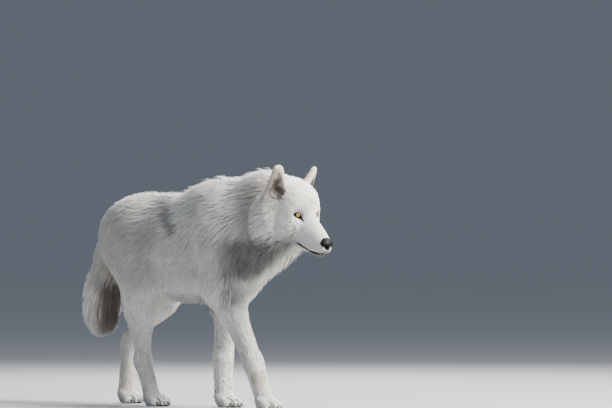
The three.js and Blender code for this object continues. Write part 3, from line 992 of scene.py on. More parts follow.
    def lids(self, colour: Array, points: Array) -> Array:
        """Adds the black rims of the eyes, the tan round them and the tear marks."""
        for eye in EYES:
            out, _, _ = eye.lid_place(points)
            rim = eye.rim(points)
            close = (np.linalg.norm(points - eye.centre, axis=1) < 34.0) & (out > 0.0)
            colour = self.tint(colour, self.tan, 0.32 * smoothstep(9.0, 3.4, rim) * close)
            rim_start, rim_end = 4.3 * eye.rim_width, 3.0 * eye.rim_width
            colour = self.tint(colour, self.black, smoothstep(rim_start, rim_end, rim) * close)
            colour = self.tint(colour, self.black, 0.95 * smoothstep(3.9, 2.2, eye.tear(points)) * close)
        return colour

    def mouth(self, colour: Array, head: Array) -> Array:
        """Adds the black lips, and the shade under the nose and on the chin."""
        right, forward, up = head.T
        on_head, below = self.on_head(head), up - Lips().height(forward)
        along = smoothstep(14.0, 26.0, forward) * (forward < 142.0) * (np.abs(below) < 12.0)
        lips = band(below, (-7.4, -5.0), (3.6, 2.0)) * along
        colour = self.tint(colour, self.black, lips * on_head)
        # painted shade under the nose
        front = smoothstep(100.0, 114.0, forward) * smoothstep(20.0, 10.0, np.abs(right))
        front = front * smoothstep(-54.0, -62.0, up)
        colour = self.tint(colour, self.shade, 0.75 * front * on_head)
        # painted shade on the chin under the lower lip
        chin = smoothstep(44.0, 78.0, forward) * smoothstep(-2.5, -6.0, below)
        return self.tint(colour, self.shade, 0.88 * chin * on_head)

    def bare(self, colour: Array, points: Array) -> Array:
        """The same colours with the black pads under the feet added."""
        return self.tint(colour, self.black, smoothstep(7.0, 4.0, points[:, 2]))


@dataclass(frozen=True)
class Lips:
    """The closed line of the mouth in the head's frame."""

    forward: tuple[float, ...] = (10.0, 19.0, 36.0, 52.0, 72.0, 95.0, 114.0, 128.0, 138.0)
    up: tuple[float, ...] = (-84.5, -87.0, -89.0, -89.6, -91.0, -88.5, -83.5, -79.0, -76.0)
    groove: float = 2.6
    roll: float = 1.0

    def height(self, forward: Array) -> Array:
        """Height of the line for each place forward of the eyes."""
        return np.interp(forward, self.forward, self.up)

    def press(self, points: Array) -> Array:
        """How far the skin moves outward at each place, negative in the groove."""
        _, forward, up = HEAD.local(points).T
        apart = np.abs(up - self.height(forward))
        along = smoothstep(12.0, 24.0, forward) * smoothstep(143.0, 137.0, forward)
        groove = -self.groove * np.exp(-((apart / 1.5) ** 2))
        return along * (groove + self.roll * np.exp(-(((apart - 4.0) / 1.8) ** 2)))


# ---- finishes


class Grain:
    """A node group that gives fine hair grain: a colour factor and a height."""

    NAME = "hair_grain"

    def __init__(self) -> None:
        """Builds the group once, with named sockets."""
        tree = bpy.data.node_groups.new(self.NAME, "ShaderNodeTree")
        self.tree = tree
        for name, low in (("Scale", 400.0), ("Strength", 0.1)):
            socket = tree.interface.new_socket(name, in_out="INPUT", socket_type="NodeSocketFloat")
            socket.default_value = low
        tree.interface.new_socket("Tint", in_out="INPUT", socket_type="NodeSocketColor")
        tree.interface.new_socket("Color", in_out="OUTPUT", socket_type="NodeSocketColor")
        tree.interface.new_socket("Height", in_out="OUTPUT", socket_type="NodeSocketFloat")
        nodes, links = tree.nodes, tree.links
        given, out = nodes.new("NodeGroupInput"), nodes.new("NodeGroupOutput")
        place = nodes.new("ShaderNodeTexCoord")
        stretch = nodes.new("ShaderNodeMapping")
        stretch.inputs["Scale"].default_value = (1.0, 0.28, 0.42)
        links.new(place.outputs["Object"], stretch.inputs["Vector"])
        noise = nodes.new("ShaderNodeTexNoise")
        noise.inputs["Detail"].default_value = 4.0
        noise.inputs["Roughness"].default_value = 0.6
        links.new(stretch.outputs["Vector"], noise.inputs["Vector"])
        links.new(given.outputs["Scale"], noise.inputs["Scale"])
        centred = nodes.new("ShaderNodeMath")
        centred.operation = "SUBTRACT"
        centred.inputs[1].default_value = 0.5
        links.new(noise.outputs["Fac"], centred.inputs[0])
        swing = nodes.new("ShaderNodeMath")
        swing.operation = "MULTIPLY_ADD"
        swing.inputs[2].default_value = 1.0
        links.new(centred.outputs[0], swing.inputs[0])
        links.new(given.outputs["Strength"], swing.inputs[1])
        shaded = nodes.new("ShaderNodeVectorMath")
        shaded.operation = "SCALE"
        links.new(given.outputs["Tint"], shaded.inputs[0])
        links.new(swing.outputs[0], shaded.inputs["Scale"])
        links.new(shaded.outputs[0], out.inputs["Color"])
        links.new(noise.outputs["Fac"], out.inputs["Height"])


class RootShade:
    """A node group that darkens and warms hair towards its root: the greyer undercoat, and painted shade deep
    among the locks.
    """

    NAME = "root_shade"

    def __init__(self) -> None:
        """Builds the group once, with named sockets."""
        tree = bpy.data.node_groups.new(self.NAME, "ShaderNodeTree")
        self.tree = tree
        tree.interface.new_socket("Color", in_out="INPUT", socket_type="NodeSocketColor")
        tree.interface.new_socket("Along", in_out="INPUT", socket_type="NodeSocketFloat")
        root = tree.interface.new_socket("Root", in_out="INPUT", socket_type="NodeSocketColor")
        root.default_value = (0.72, 0.69, 0.65, 1.0)
        tree.interface.new_socket("Color", in_out="OUTPUT", socket_type="NodeSocketColor")
        nodes, links = tree.nodes, tree.links
        given, out = nodes.new("NodeGroupInput"), nodes.new("NodeGroupOutput")
        ramp = nodes.new("ShaderNodeMapRange")
        ramp.inputs["From Min"].default_value = 0.1
        ramp.inputs["From Max"].default_value = 0.85
        ramp.interpolation_type = "SMOOTHSTEP"
        links.new(given.outputs["Along"], ramp.inputs["Value"])
        blend = nodes.new("ShaderNodeMix")
        blend.data_type = "RGBA"
        sockets = {socket.identifier: socket for socket in [*blend.inputs, *blend.outputs]}
        links.new(ramp.outputs["Result"], sockets["Factor_Float"])
        links.new(given.outputs["Root"], sockets["A_Color"])
        sockets["B_Color"].default_value = (1.0, 1.0, 1.0, 1.0)
        shade = nodes.new("ShaderNodeVectorMath")
        shade.operation = "MULTIPLY"
        links.new(given.outputs["Color"], shade.inputs[0])
        links.new(sockets["Result_Color"], shade.inputs[1])
        links.new(shade.outputs[0], out.inputs["Color"])


@dataclass(frozen=True)
class Groups:
    """The node groups that finishes share."""

    grain: Grain
    root_shade: RootShade

    @staticmethod
    def place(material: Material, group: Grain | RootShade) -> Node:
        """A node in the material that holds the group."""
        node = material.node_tree.nodes.new("ShaderNodeGroup")
        node.node_tree = group.tree
        return node


@dataclass(frozen=True)
class Finish:
    """A material with plain settings on its shader."""

    name: str
    roughness: float = 0.5
    specular: float = 0.4
    coat: float = 0.0
    coat_roughness: float = 0.05
    sheen: float = 0.0
    colour: Triple = (0.5, 0.5, 0.5)

    def start(self) -> tuple[Material, Node]:
        """The new material and its shader node with the plain settings."""
        material = bpy.data.materials.new(self.name)
        material.use_nodes = True
        shader = material.node_tree.nodes["Principled BSDF"]
        shader.inputs["Base Color"].default_value = (*self.colour, 1.0)
        shader.inputs["Roughness"].default_value = self.roughness
        shader.inputs["Specular IOR Level"].default_value = self.specular
        shader.inputs["Coat Weight"].default_value = self.coat
        shader.inputs["Coat Roughness"].default_value = self.coat_roughness
        shader.inputs["Sheen Weight"].default_value = self.sheen
        material.diffuse_color = (*self.colour, 1.0)
        return material, shader

    @staticmethod
    def ramp(shader: Node, source: Socket, stops: list[tuple[float, Triple]]) -> None:
        """Colours a shader by a value.

        Args:
            shader: The shader node.
            source: The value.
            stops: Colours and the values that they stand at, lowest first.
        """
        tree = shader.id_data
        ramp = tree.nodes.new("ShaderNodeValToRGB")
        elements = ramp.color_ramp.elements
        while len(elements) < len(stops):
            elements.new(0.5)
        for element, (position, colour) in zip(elements, stops):
            element.position = position
            element.color = (*colour, 1.0)
        tree.links.new(source, ramp.inputs["Fac"])
        tree.links.new(ramp.outputs["Color"], shader.inputs["Base Color"])

    @staticmethod
    def clouds(shader: Node, scale: float, detail: float) -> Socket:
        """Noise over the piece's own places, for a shader to be coloured by."""
        tree = shader.id_data
        place = tree.nodes.new("ShaderNodeTexCoord")
        noise = tree.nodes.new("ShaderNodeTexNoise")
        noise.inputs["Scale"].default_value = scale
        noise.inputs["Detail"].default_value = detail
        tree.links.new(place.outputs["Object"], noise.inputs["Vector"])
        return noise.outputs["Fac"]


@dataclass(frozen=True)
class HairFinish(Finish):
    """Hair: its own markings, darker at the root with the undercoat and painted shade among the locks, with a
    fine grain.
    """

    grain_scale: float = 620.0
    grain_strength: float = 0.34
    bump: float = 0.0
    root: Triple = (0.60, 0.58, 0.55)

    def build(self, groups: Groups) -> Material:
        """The finished material.

        Args:
            groups: The shared node groups.
        Returns:
            The material.
        """
        material, shader = self.start()
        nodes, links = material.node_tree.nodes, material.node_tree.links
        colour = nodes.new("ShaderNodeAttribute")
        colour.attribute_name = COLOUR
        along = nodes.new("ShaderNodeAttribute")
        along.attribute_name = ALONG
        shade = Groups.place(material, groups.root_shade)
        shade.inputs["Root"].default_value = (*self.root, 1.0)
        links.new(colour.outputs["Color"], shade.inputs["Color"])
        links.new(along.outputs["Fac"], shade.inputs["Along"])
        grain = Groups.place(material, groups.grain)
        grain.inputs["Scale"].default_value = self.grain_scale
        grain.inputs["Strength"].default_value = self.grain_strength
        links.new(shade.outputs["Color"], grain.inputs["Tint"])
        links.new(grain.outputs["Color"], shader.inputs["Base Color"])
        if self.bump > 0.0:
            bump = nodes.new("ShaderNodeBump")
            bump.inputs["Strength"].default_value = self.bump
            bump.inputs["Distance"].default_value = 0.001
            links.new(grain.outputs["Height"], bump.inputs["Height"])
            links.new(bump.outputs["Normal"], shader.inputs["Normal"])
        return material


@dataclass(frozen=True)
class LeatherFinish(Finish):
    """Black pebbled nose leather, damp."""

    pebble: float = 900.0
    depth: float = 0.55
    middle: Triple = (0.010, 0.0095, 0.010)
    crease: Triple = (0.0035, 0.0035, 0.004)

    def build(self) -> Material:
        """The finished material."""
        material, shader = self.start()
        nodes, links = material.node_tree.nodes, material.node_tree.links
        place = nodes.new("ShaderNodeTexCoord")
        cells = nodes.new("ShaderNodeTexVoronoi")
        cells.inputs["Scale"].default_value = self.pebble
        links.new(place.outputs["Object"], cells.inputs["Vector"])
        self.ramp(shader, cells.outputs["Distance"], [(0.0, self.middle), (1.0, self.crease)])
        bump = nodes.new("ShaderNodeBump")
        bump.invert = True
        bump.inputs["Strength"].default_value = self.depth
        bump.inputs["Distance"].default_value = 0.0006
        links.new(cells.outputs["Distance"], bump.inputs["Height"])
        links.new(bump.outputs["Normal"], shader.inputs["Normal"])
        return material


@dataclass(frozen=True)
class HornFinish(Finish):
    """Dark claw horn with lengthwise streaks."""

    streak: float = 260.0
    deep: Triple = (0.012, 0.010, 0.009)
    pale: Triple = (0.055, 0.045, 0.036)

    def build(self) -> Material:
        """The finished material."""
        material, shader = self.start()
        self.ramp(shader, self.clouds(shader, self.streak, 3.0), [(0.35, self.deep), (1.0, self.pale)])
        return material


@dataclass(frozen=True)
class EyeFinish(Finish):
    """Amber iris round a small pupil, dark towards its rim, under a wet surface."""

    def build(self) -> Material:
        """The finished material, coloured by how far each place lies from the gaze."""
        material, shader = self.start()
        nodes, links = material.node_tree.nodes, material.node_tree.links
        gaze = nodes.new("ShaderNodeAttribute")
        gaze.attribute_name = "gaze"
        split = nodes.new("ShaderNodeSeparateXYZ")
        links.new(gaze.outputs["Vector"], split.inputs["Vector"])
        spokes = nodes.new("ShaderNodeTexNoise")
        spokes.inputs["Scale"].default_value = 3.2
        spokes.inputs["Detail"].default_value = 5.0
        links.new(gaze.outputs["Vector"], spokes.inputs["Vector"])
        wander = nodes.new("ShaderNodeMath")
        wander.operation = "MULTIPLY_ADD"
        wander.inputs[1].default_value = 0.10
        links.new(spokes.outputs["Fac"], wander.inputs[0])
        links.new(split.outputs["X"], wander.inputs[2])
        self.ramp(shader, wander.outputs[0], [
            (0.00, (0.004, 0.004, 0.004)),
            (0.36, (0.004, 0.004, 0.004)),
            (0.40, (0.30, 0.14, 0.02)),
            (0.50, (0.72, 0.43, 0.07)),
            (0.60, (0.80, 0.55, 0.13)),
            (0.74, (0.52, 0.28, 0.05)),
            (0.82, (0.06, 0.03, 0.012)),
            (0.90, (0.022, 0.012, 0.008)),
            (1.00, (0.05, 0.03, 0.025)),
        ])
        return material


@dataclass(frozen=True)
class FloorFinish(Finish):
    """Plain pale floor with a barely seen cloudiness."""

    def build(self) -> Material:
        """The finished material."""
        material, shader = self.start()
        darker, paler = (tuple(c * share for c in self.colour) for share in (0.96, 1.04))
        self.ramp(shader, self.clouds(shader, 2.2, 4.0), [(0.0, darker), (1.0, paler)])
        return material


# ---- meshes from arrays


@dataclass
class Shape:
    """Arrays for one mesh: places in millimetres, and faces as corner lists with their starts."""

    points: Array
    corners: Array
    starts: Array
    values: dict[str, Array] = field(default_factory=dict)

    @staticmethod
    def of_quads(points: Array, quads: Array) -> "Shape":
        """A shape whose faces all have four corners."""
        return Shape(points, quads.ravel(), np.arange(len(quads)) * 4)

    def build(self, name: str, material: Material, slot: str, nodes: list[str]) -> Piece:
        """Writes the mesh and adds it to the scene as a piece of the wolf.

        Args:
            name: The piece's name.
            material: Its finish.
            slot: Not used.
            nodes: The CAD nodes that it stands for.
        Returns:
            The new object.
        """
        mesh = bpy.data.meshes.new(name)
        mesh.vertices.add(len(self.points))
        mesh.vertices.foreach_set("co", (self.points * MM).astype(np.float32).ravel())
        mesh.loops.add(len(self.corners))
        mesh.loops.foreach_set("vertex_index", self.corners.astype(np.int32))
        mesh.polygons.add(len(self.starts))
        mesh.polygons.foreach_set("loop_start", self.starts.astype(np.int32))
        mesh.update(calc_edges=True)
        mesh.validate()
        mesh.polygons.foreach_set("use_smooth", np.ones(len(mesh.polygons), dtype=bool))
        for key, value in self.values.items():
            if value.ndim == 1:
                mesh.attributes.new(key, "FLOAT", "POINT").data.foreach_set("value", value.astype(np.float32))
            elif key == COLOUR:
                rgba = np.concatenate([value, np.ones((len(value), 1))], 1).astype(np.float32)
                mesh.attributes.new(key, "FLOAT_COLOR", "POINT").data.foreach_set("color", rgba.ravel())
            else:
                layer = mesh.attributes.new(key, "FLOAT_VECTOR", "POINT")
                layer.data.foreach_set("vector", value.astype(np.float32).ravel())
        mesh.materials.append(material)
        piece = bpy.data.objects.new(name, mesh)
        bpy.context.scene.collection.objects.link(piece)
        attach(piece, "root")
        if nodes:
            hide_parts(*nodes)
        LOG.info("%s: %d faces", name, len(mesh.polygons))
        return piece


def contour(distance: Array, low: Array, cell: float) -> tuple[Array, Array]:
    """The zero surface of a sampled field.

    Args:
        distance: Samples on a grid, x by y by z.
        low: Place of the first sample.
        cell: Distance between samples.
    Returns:
        Places and quads.
    """
    grid = openvdb.FloatGrid(float(distance.max()))
    grid.copyFromArray(np.ascontiguousarray(distance, dtype=np.float32))
    points, quads = grid.convertToQuads(0.0)
    return points.astype(np.float64) * cell + low, quads.astype(np.int64)


def grid_points(low: Array, high: Array, cell: float) -> tuple[Array, tuple[int, int, int]]:
    """Sample places that fill a box.

    Args:
        low: Lowest corner.
        high: Highest corner.
        cell: Distance between samples.
    Returns:
        The places and how many there are each way.
    """
    axes = [np.arange(a, b + cell, cell, dtype=np.float32) for a, b in zip(low, high)]
    mesh = np.stack(np.meshgrid(*axes, indexing="ij"), -1)
    return mesh.reshape(-1, 3), mesh.shape[:3]


# ---- skin


@dataclass
class Skin:
    """The one skin: netted coarsely, refined where it counts, and settled on to its field."""

    body: Body
    markings: Markings
    cell: float = 5.4
    low: Triple = (-152.0, -618.0, -9.0)
    high: Triple = (152.0, 618.0, 812.0)
    refine_head: float = 168.0
    refine_paw: float = 58.0
    points: Array = field(default_factory=lambda: np.zeros((0, 3)))
    normals: Array = field(default_factory=lambda: np.zeros((0, 3)))
    triangles: Array = field(default_factory=lambda: np.zeros((0, 3), dtype=int))

    def net(self) -> tuple[Array, Array]:
        """The coarse surface."""
        places, shape = grid_points(np.array(self.low), np.array(self.high), self.cell)
        values = self.body.distance(places, True)
        return contour(values.reshape(shape), np.array(self.low), self.cell)

    def settle(self, points: Array, passes: int) -> Array:
        """Moves places on to the skin along the field's slope.

        Args:
            points: Places near the skin.
            passes: How often they are moved.
        Returns:
            The moved places.
        """
        for _ in range(passes):
            here = self.body.distance(points, True)
            slope = self.body.slope(points, True, here)
            size = np.maximum(np.linalg.norm(slope, axis=1), 0.35)
            shift = np.clip(here / size, -self.cell / 3, self.cell / 3)
            points = points - unit(slope) * shift[:, None]
        return points

    def wanted(self, level: int, centres: Array) -> Array:
        """Which faces are split at a level.

        Args:
            level: 0 for the whole head and paws, 1 for its features, 2 for the lids.
            centres: Face middles.
        Returns:
            True for each face that is split.
        """
        head = HEAD.local(centres)
        near_eye = np.min([np.linalg.norm(centres - eye.centre, axis=1) for eye in EYES], axis=0)
        if level == 0:
            on_head = np.linalg.norm(head - np.array([0.0, -20.0, -10.0]), axis=1) < self.refine_head
            return on_head | (centres[:, 2] < self.refine_paw)
        if level == 1:
            _, forward, up = head.T
            lips = (np.abs(up - Lips().height(forward)) < 9.0) & (forward > 8.0) & (forward < 150.0)
            nose = np.linalg.norm(head - np.array(NOSE_SEAT), axis=1) < 30.0
            return (near_eye < 25.0) | lips | nose
        return near_eye < 18.5

    def refine(self, points: Array, quads: Array) -> bmesh.types.BMesh:
        """Splits faces level by level, settling the new places each time.

        Args:
            points: The coarse places.
            quads: The coarse faces.
        Returns:
            The refined mesh.
        """
        rough = bpy.data.meshes.new("rough_skin")
        rough.from_pydata(points.tolist(), [], quads.tolist())
        mesh = bmesh.new()
        mesh.from_mesh(rough)
        bpy.data.meshes.remove(rough)
        for level in range(3):
            centres = np.array([face.calc_center_median() for face in mesh.faces])
            chosen = self.wanted(level, centres)
            edges = {edge for face, keep in zip(mesh.faces, chosen) if keep for edge in face.edges}
            bmesh.ops.subdivide_edges(mesh, edges=list(edges), cuts=1, use_grid_fill=True)
            mesh.verts.index_update()
            places = np.array([vert.co for vert in mesh.verts])
            moved = self.settle(places, 2 if level < 2 else 3)
            for vert, place in zip(mesh.verts, moved):
                vert.co = place
        bmesh.ops.recalc_face_normals(mesh, faces=mesh.faces)
        return mesh

    def build(self, material: Material, nodes: list[str]) -> Piece:
        """Makes the skin's mesh and keeps its arrays for the coat.

        Args:
            material: The skin's finish.
            nodes: The CAD nodes that it stands for.
        Returns:
            The skin.
        """
        points, quads = self.net()
        points = self.settle(points, 2)
        refined = self.refine(points, quads)
        places = np.array([vert.co for vert in refined.verts])
        slope = unit(self.body.slope(places, True))
        places += slope * Lips().press(places)[:, None]
        places[:, 2] = np.maximum(places[:, 2], 0.0)
        refined.verts.ensure_lookup_table()
        corners = [vert.index for face in refined.faces for vert in face.verts]
        counts = np.array([len(face.verts) for face in refined.faces])
        refined.free()
        starts = np.concatenate([[0], np.cumsum(counts)[:-1]])
        colour = self.markings.bare(self.markings.coat(places), places)
        shape = Shape(places, np.array(corners), starts)
        shape.values[COLOUR] = colour
        shape.values[ALONG] = np.full(len(places), 0.55)
        skin = shape.build("skin", material, "coat", nodes)
        mesh = skin.data
        mesh.calc_loop_triangles()
        flat = np.empty(len(mesh.loop_triangles) * 3, dtype=np.int32)
        mesh.loop_triangles.foreach_get("vertices", flat)
        self.points, self.normals = places, slope
        self.triangles = flat.reshape(-1, 3)
        return skin


# ---- coat


@dataclass
class CoatPiece:
    """One piece of the coat: locks rooted on a patch of skin, clumped and combed."""

    name: str
    areas: tuple[Area, ...]
    side: float
    rings: int
    small_clump: float = 9.0
    small_pull: float = 0.5
    large_clump: float = 30.0
    large_pull: float = 0.28
    unruly: float = 0.13
    stray: float = 0.06
    reach: float = 1.0


@dataclass
class Roots:
    """Where the locks of a piece start, and what grows there."""

    places: Array
    normals: Array
    bake: Array
    lie: Array
    length: Array
    width: Array


class Coat:
    """Grows every piece of the coat on the skin."""

    PATCH = 0.003
    PROFILE = {2: (0.0, 0.46), 3: (0.0, 0.34, 0.70)}
    WIDTHS = {2: (0.62, 1.0), 3: (0.60, 1.0, 0.72)}
    THICKNESS = 0.42
    CLUMP_TONE = 0.05
    LOWEST = 0.3
    RISE = 1.75

    def __init__(self, body: Body, skin: Skin, markings: Markings, material: Material) -> None:
        """Works out, for each bit of skin, which form's hair grows on it.

        Args:
            body: The wolf's forms.
            skin: The built skin.
            markings: The coat's colours.
            material: The hair's finish.
        """
        self.body, self.skin, self.markings, self.material = body, skin, markings, material
        self.random = np.random.default_rng(SEED)
        corners = skin.points[skin.triangles]
        self.centres = corners.mean(1)
        facing = np.cross(corners[:, 1] - corners[:, 0], corners[:, 2] - corners[:, 0])
        self.size = np.linalg.norm(facing, axis=1) / 2
        shares = body.shares(self.centres)
        self.leading = shares.argmax(1)
        self.spacing = shares @ np.array([form.pelt.spacing for form in body.forms])
        self.area_of = np.array([list(Area).index(form.area) for form in body.forms])[self.leading]
        self.haired = self.haired_skin()

    def haired_skin(self) -> Array:
        """Which triangles of the skin grow hair: none in the eyes, on the lips or under the feet."""
        keep = self.centres[:, 2] > 5.0
        for eye in EYES:
            out, _, _ = eye.lid_place(self.centres)
            near = (np.linalg.norm(self.centres - eye.centre, axis=1) < 30.0) & (out > 0.0)
            keep &= ~(near & (eye.rim(self.centres) < 3.4))
        _, forward, up = HEAD.local(self.centres).T
        mouth = (np.abs(up - Lips().height(forward)) < 3.6) & (forward > 20.0) & (forward < 145.0)
        nose = np.linalg.norm(HEAD.local(self.centres) - np.array([0.0, 130.0, -48.0]), axis=1) < 20.0
        return keep & ~mouth & ~nose

    def unwrap(self, chosen: Array) -> Array:
        """Flattens the chosen triangles into a map of their own that fills the unit square.

        Args:
            chosen: Which skin triangles.
        Returns:
            Map places, triangles by corners by two.
        """
        triangles = self.skin.triangles[chosen]
        used, index = np.unique(triangles, return_inverse=True)
        shape = Shape(self.skin.points[used], index.reshape(-1), np.arange(len(triangles)) * 3)
        mesh = bpy.data.meshes.new("unwrapped")
        mesh.from_pydata((shape.points * MM).tolist(), [], index.reshape(-1, 3).tolist())
        holder = bpy.data.objects.new("unwrapped", mesh)
        bpy.context.scene.collection.objects.link(holder)
        bpy.context.view_layer.objects.active = holder
        for other in bpy.context.selected_objects:
            other.select_set(False)
        holder.select_set(True)
        bpy.ops.object.mode_set(mode="EDIT")
        bpy.ops.mesh.select_all(action="SELECT")
        bpy.ops.uv.smart_project(angle_limit=math.radians(80.0), island_margin=0.004)
        bpy.ops.object.mode_set(mode="OBJECT")
        flat = np.empty(len(mesh.loops) * 2, dtype=np.float32)
        mesh.uv_layers.active.data.foreach_get("uv", flat)
        bpy.data.objects.remove(holder)
        bpy.data.meshes.remove(mesh)
        uv = flat.reshape(-1, 3, 2).astype(np.float64)
        low, high = uv.min((0, 1)), uv.max((0, 1))
        return 0.004 + (uv - low) / (high - low) * 0.992

    def roots(self, piece: CoatPiece) -> Roots:
        """Spreads roots evenly over a piece's skin.

        Args:
            piece: The piece.
        Returns:
            Its roots.
        """
        numbers = [list(Area).index(area) for area in piece.areas]
        right = (HEAD if Area.FACE in piece.areas else BODY).local(self.centres)[:, 0]
        chosen = self.haired & np.isin(self.area_of, numbers)
        if piece.side:
            chosen &= right * piece.side >= 0.0
        picks = np.flatnonzero(chosen)
        bake = self.unwrap(picks)
        expected = np.cumsum(self.size[picks] / self.spacing[picks] ** 2)
        count = int(expected[-1])
        at = (np.arange(count) + self.random.uniform(0.1, 0.9, count)) * expected[-1] / count
        which = np.minimum(np.searchsorted(expected, at), len(picks) - 1)
        a, b = self.random.random((2, count))
        over = a + b > 1.0
        a[over], b[over] = 1.0 - a[over], 1.0 - b[over]
        part = np.stack([1.0 - a - b, a, b], 1)[:, :, None]
        corners = self.skin.triangles[picks[which]]
        places = (self.skin.points[corners] * part).sum(1)
        normals = unit((self.skin.normals[corners] * part).sum(1))
        shares = self.body.shares(places)
        lay = np.stack([form.lay for form in self.body.forms])
        length = shares @ np.array([form.pelt.length for form in self.body.forms])
        width = shares @ np.array([form.pelt.width for form in self.body.forms])
        from_eye = np.min([np.linalg.norm(places - eye.centre, axis=1) for eye in EYES], axis=0)
        length *= 0.4 + 0.6 * smoothstep(15.0, 36.0, from_eye)
        return Roots(places, normals, (bake[which] * part).sum(1), shares @ lay, length, width)

    def comb(self, piece: CoatPiece, roots: Roots) -> tuple[Array, Array]:
        """Runs every lock along the body, rising from the skin to the coat's outside.

        Args:
            piece: The piece.
            roots: Its roots.
        Returns:
            Places along each lock, and the coat's outward direction at each.
        """
        count = len(roots.places)
        shares = (*self.PROFILE[piece.rings], 1.0)
        swirl = 0.24 * waves(roots.places, 120.0, 0.9) + self.random.normal(0.0, piece.unruly, count)
        lie = roots.lie - dot(roots.lie, roots.normals) * roots.normals * 0.96
        lie = unit(lie)
        turned = np.cross(roots.normals, lie)
        lie = unit(lie * np.cos(swirl)[:, None] + turned * np.sin(swirl)[:, None])
        patchy = 1.0 + 0.14 * waves(roots.places, 60.0, 3.3)
        length = roots.length * self.random.uniform(0.72, 1.22, count) * patchy
        reach = self.random.uniform(0.76, 1.12, count)
        strays = self.random.random(count) < piece.stray
        reach = np.where(strays, self.random.uniform(1.16, 1.42, count), reach)
        reach *= piece.reach
        here = roots.places - roots.normals * 1.2
        depth = np.maximum(-self.body.distance(roots.places, False), 1.2)
        path, outward = [here], [roots.normals]
        direction = lie
        for k in range(1, len(shares)):
            step = (shares[k] - shares[k - 1]) * length
            here = here + direction * step[:, None]
            for _ in range(2):
                level = self.body.distance(here, False)
                slope = self.body.slope(here, False, level)
                rise = 1.0 - (1.0 - shares[k]) ** self.RISE
                target = -depth * (1.0 - reach * rise)
                size = np.maximum(np.linalg.norm(slope, axis=1), 0.5)
                shift = np.clip((level - target) / size, -0.55 * length, 0.55 * length)
                out = unit(slope)
                here = here - out * shift[:, None]
            direction = unit(direction - dot(direction, out) * out)
            path.append(here)
            outward.append(out)
        return np.stack(path, 1), np.stack(outward, 1)

    def clump(self, path: Array, size: float, pull: float, keep: float) -> tuple[Array, Array]:
        """Draws the ends of neighbouring locks together.

        Args:
            path: Places along each lock.
            size: Width of a clump.
            pull: How strongly its ends meet.
            keep: Share of their spread that the ends keep.
        Returns:
            The drawn places, and a brightness that the locks of one clump share.
        """
        wobble = np.stack([waves(path[:, 0], size * 5.0, phase) for phase in (0.2, 1.9, 3.7)], 1)
        cells = np.floor(path[:, 0] / size + wobble * 0.6).astype(np.int64)
        key = (cells[:, 0] * 4099 + cells[:, 1]) * 4099 + cells[:, 2]
        _, group = np.unique(key, return_inverse=True)
        number = np.bincount(group).astype(float)
        middle = np.stack(
            [np.stack([np.bincount(group, path[:, k, i]) / number for i in range(3)], 1)
             for k in range(path.shape[1])], 1)[group]
        spread = path[:, :1] - middle[:, :1]
        steps = np.linspace(0.0, 1.0, path.shape[1]) ** 1.6
        aim = middle + spread * keep
        tone = self.random.normal(0.0, self.CLUMP_TONE, len(number))[group]
        return path + (aim - path) * (pull * steps)[None, :, None], tone

    def grow(self, piece: CoatPiece) -> Piece:
        """Builds one piece of the coat.

        Args:
            piece: The piece.
        Returns:
            Its object.
        """
        roots = self.roots(piece)
        path, outward = self.comb(piece, roots)
        path, broad = self.clump(path, piece.large_clump, piece.large_pull, 0.5)
        path, fine = self.clump(path, piece.small_clump, piece.small_pull, 0.3)
        shape, normals, uv = self.locks(piece, roots, path, outward, 1.0 + broad + fine)
        made = shape.build(piece.name, self.material, "coat", [])
        layer = made.data.uv_layers.new(name=BAKE_MAP)
        layer.data.foreach_set("uv", uv.astype(np.float32).ravel())
        made.data.normals_split_custom_set_from_vertices(normals.astype(np.float32))
        return made

    def locks(self, piece: CoatPiece, roots: Roots, path: Array, outward: Array,
              tone: Array) -> tuple[Shape, Array, Array]:
        """Turns lock paths into closed three-sided tapering locks.

        Args:
            piece: The piece.
            roots: Its roots.
            path: Places along each lock.
            outward: The coat's outward direction at each place.
            tone: How bright each lock is.
        Returns:
            The shape, a normal for each of its places and a map place for each corner.
        """
        count, rings = len(path), piece.rings
        stations = path.shape[1]
        tangent = np.empty_like(path)
        tangent[:, :-1] = path[:, 1:] - path[:, :-1]
        tangent[:, -1] = tangent[:, -2]
        tangent = unit(tangent)
        across = unit(np.cross(tangent, outward))
        roll = self.random.normal(0.0, 0.42, count)[:, None, None]
        above = np.cross(across, tangent)
        side = across * np.cos(roll) + above * np.sin(roll)
        ridge = np.cross(side, tangent)
        width = roots.width * self.random.uniform(0.75, 1.25, count)
        half = width[:, None, None] * np.array(self.WIDTHS[rings])[None, :, None] / 2.0
        thick = half * 2.0 * self.THICKNESS
        base, s, r = path[:, :rings], side[:, :rings], ridge[:, :rings]
        loop = np.stack([base + s * half - r * thick * 0.35, base + r * thick * 0.65,
                         base - s * half - r * thick * 0.35], 2)
        lean = np.stack([s * 0.62 + r, r * 1.15, -s * 0.62 + r], 2)
        normal = unit(unit(lean) * 0.66 + outward[:, :rings, None] * 0.62)
        points = np.concatenate([loop.reshape(count, rings * 3, 3), path[:, -1:]], 1)
        normals = np.concatenate([normal.reshape(count, rings * 3, 3), outward[:, -1:]], 1)
        per_lock = rings * 3 + 1
        corners, starts, map_places = self.lock_faces(rings)
        offsets = (np.arange(count) * per_lock)[:, None]
        all_corners = (corners[None] + offsets).ravel()
        all_starts = (starts[None] + (np.arange(count) * len(corners))[:, None]).ravel()
        uv = np.clip(roots.bake[:, None] + (map_places[None] - 0.5) * self.PATCH, 0.0, 1.0)
        along = np.array(self.PROFILE[rings])
        along = np.concatenate([np.repeat(along, 3), [1.0]])
        glow = (tone + self.random.normal(0.0, 0.06, count))[:, None]
        warm = np.array([1.0, 0.985, 0.95]) ** self.random.uniform(0.0, 1.0, count)[:, None]
        colour = self.markings.coat(path[:, 1] * 0.45 + path[:, -1] * 0.55)
        colour = np.clip(colour * glow * warm, 0.0, 0.92)
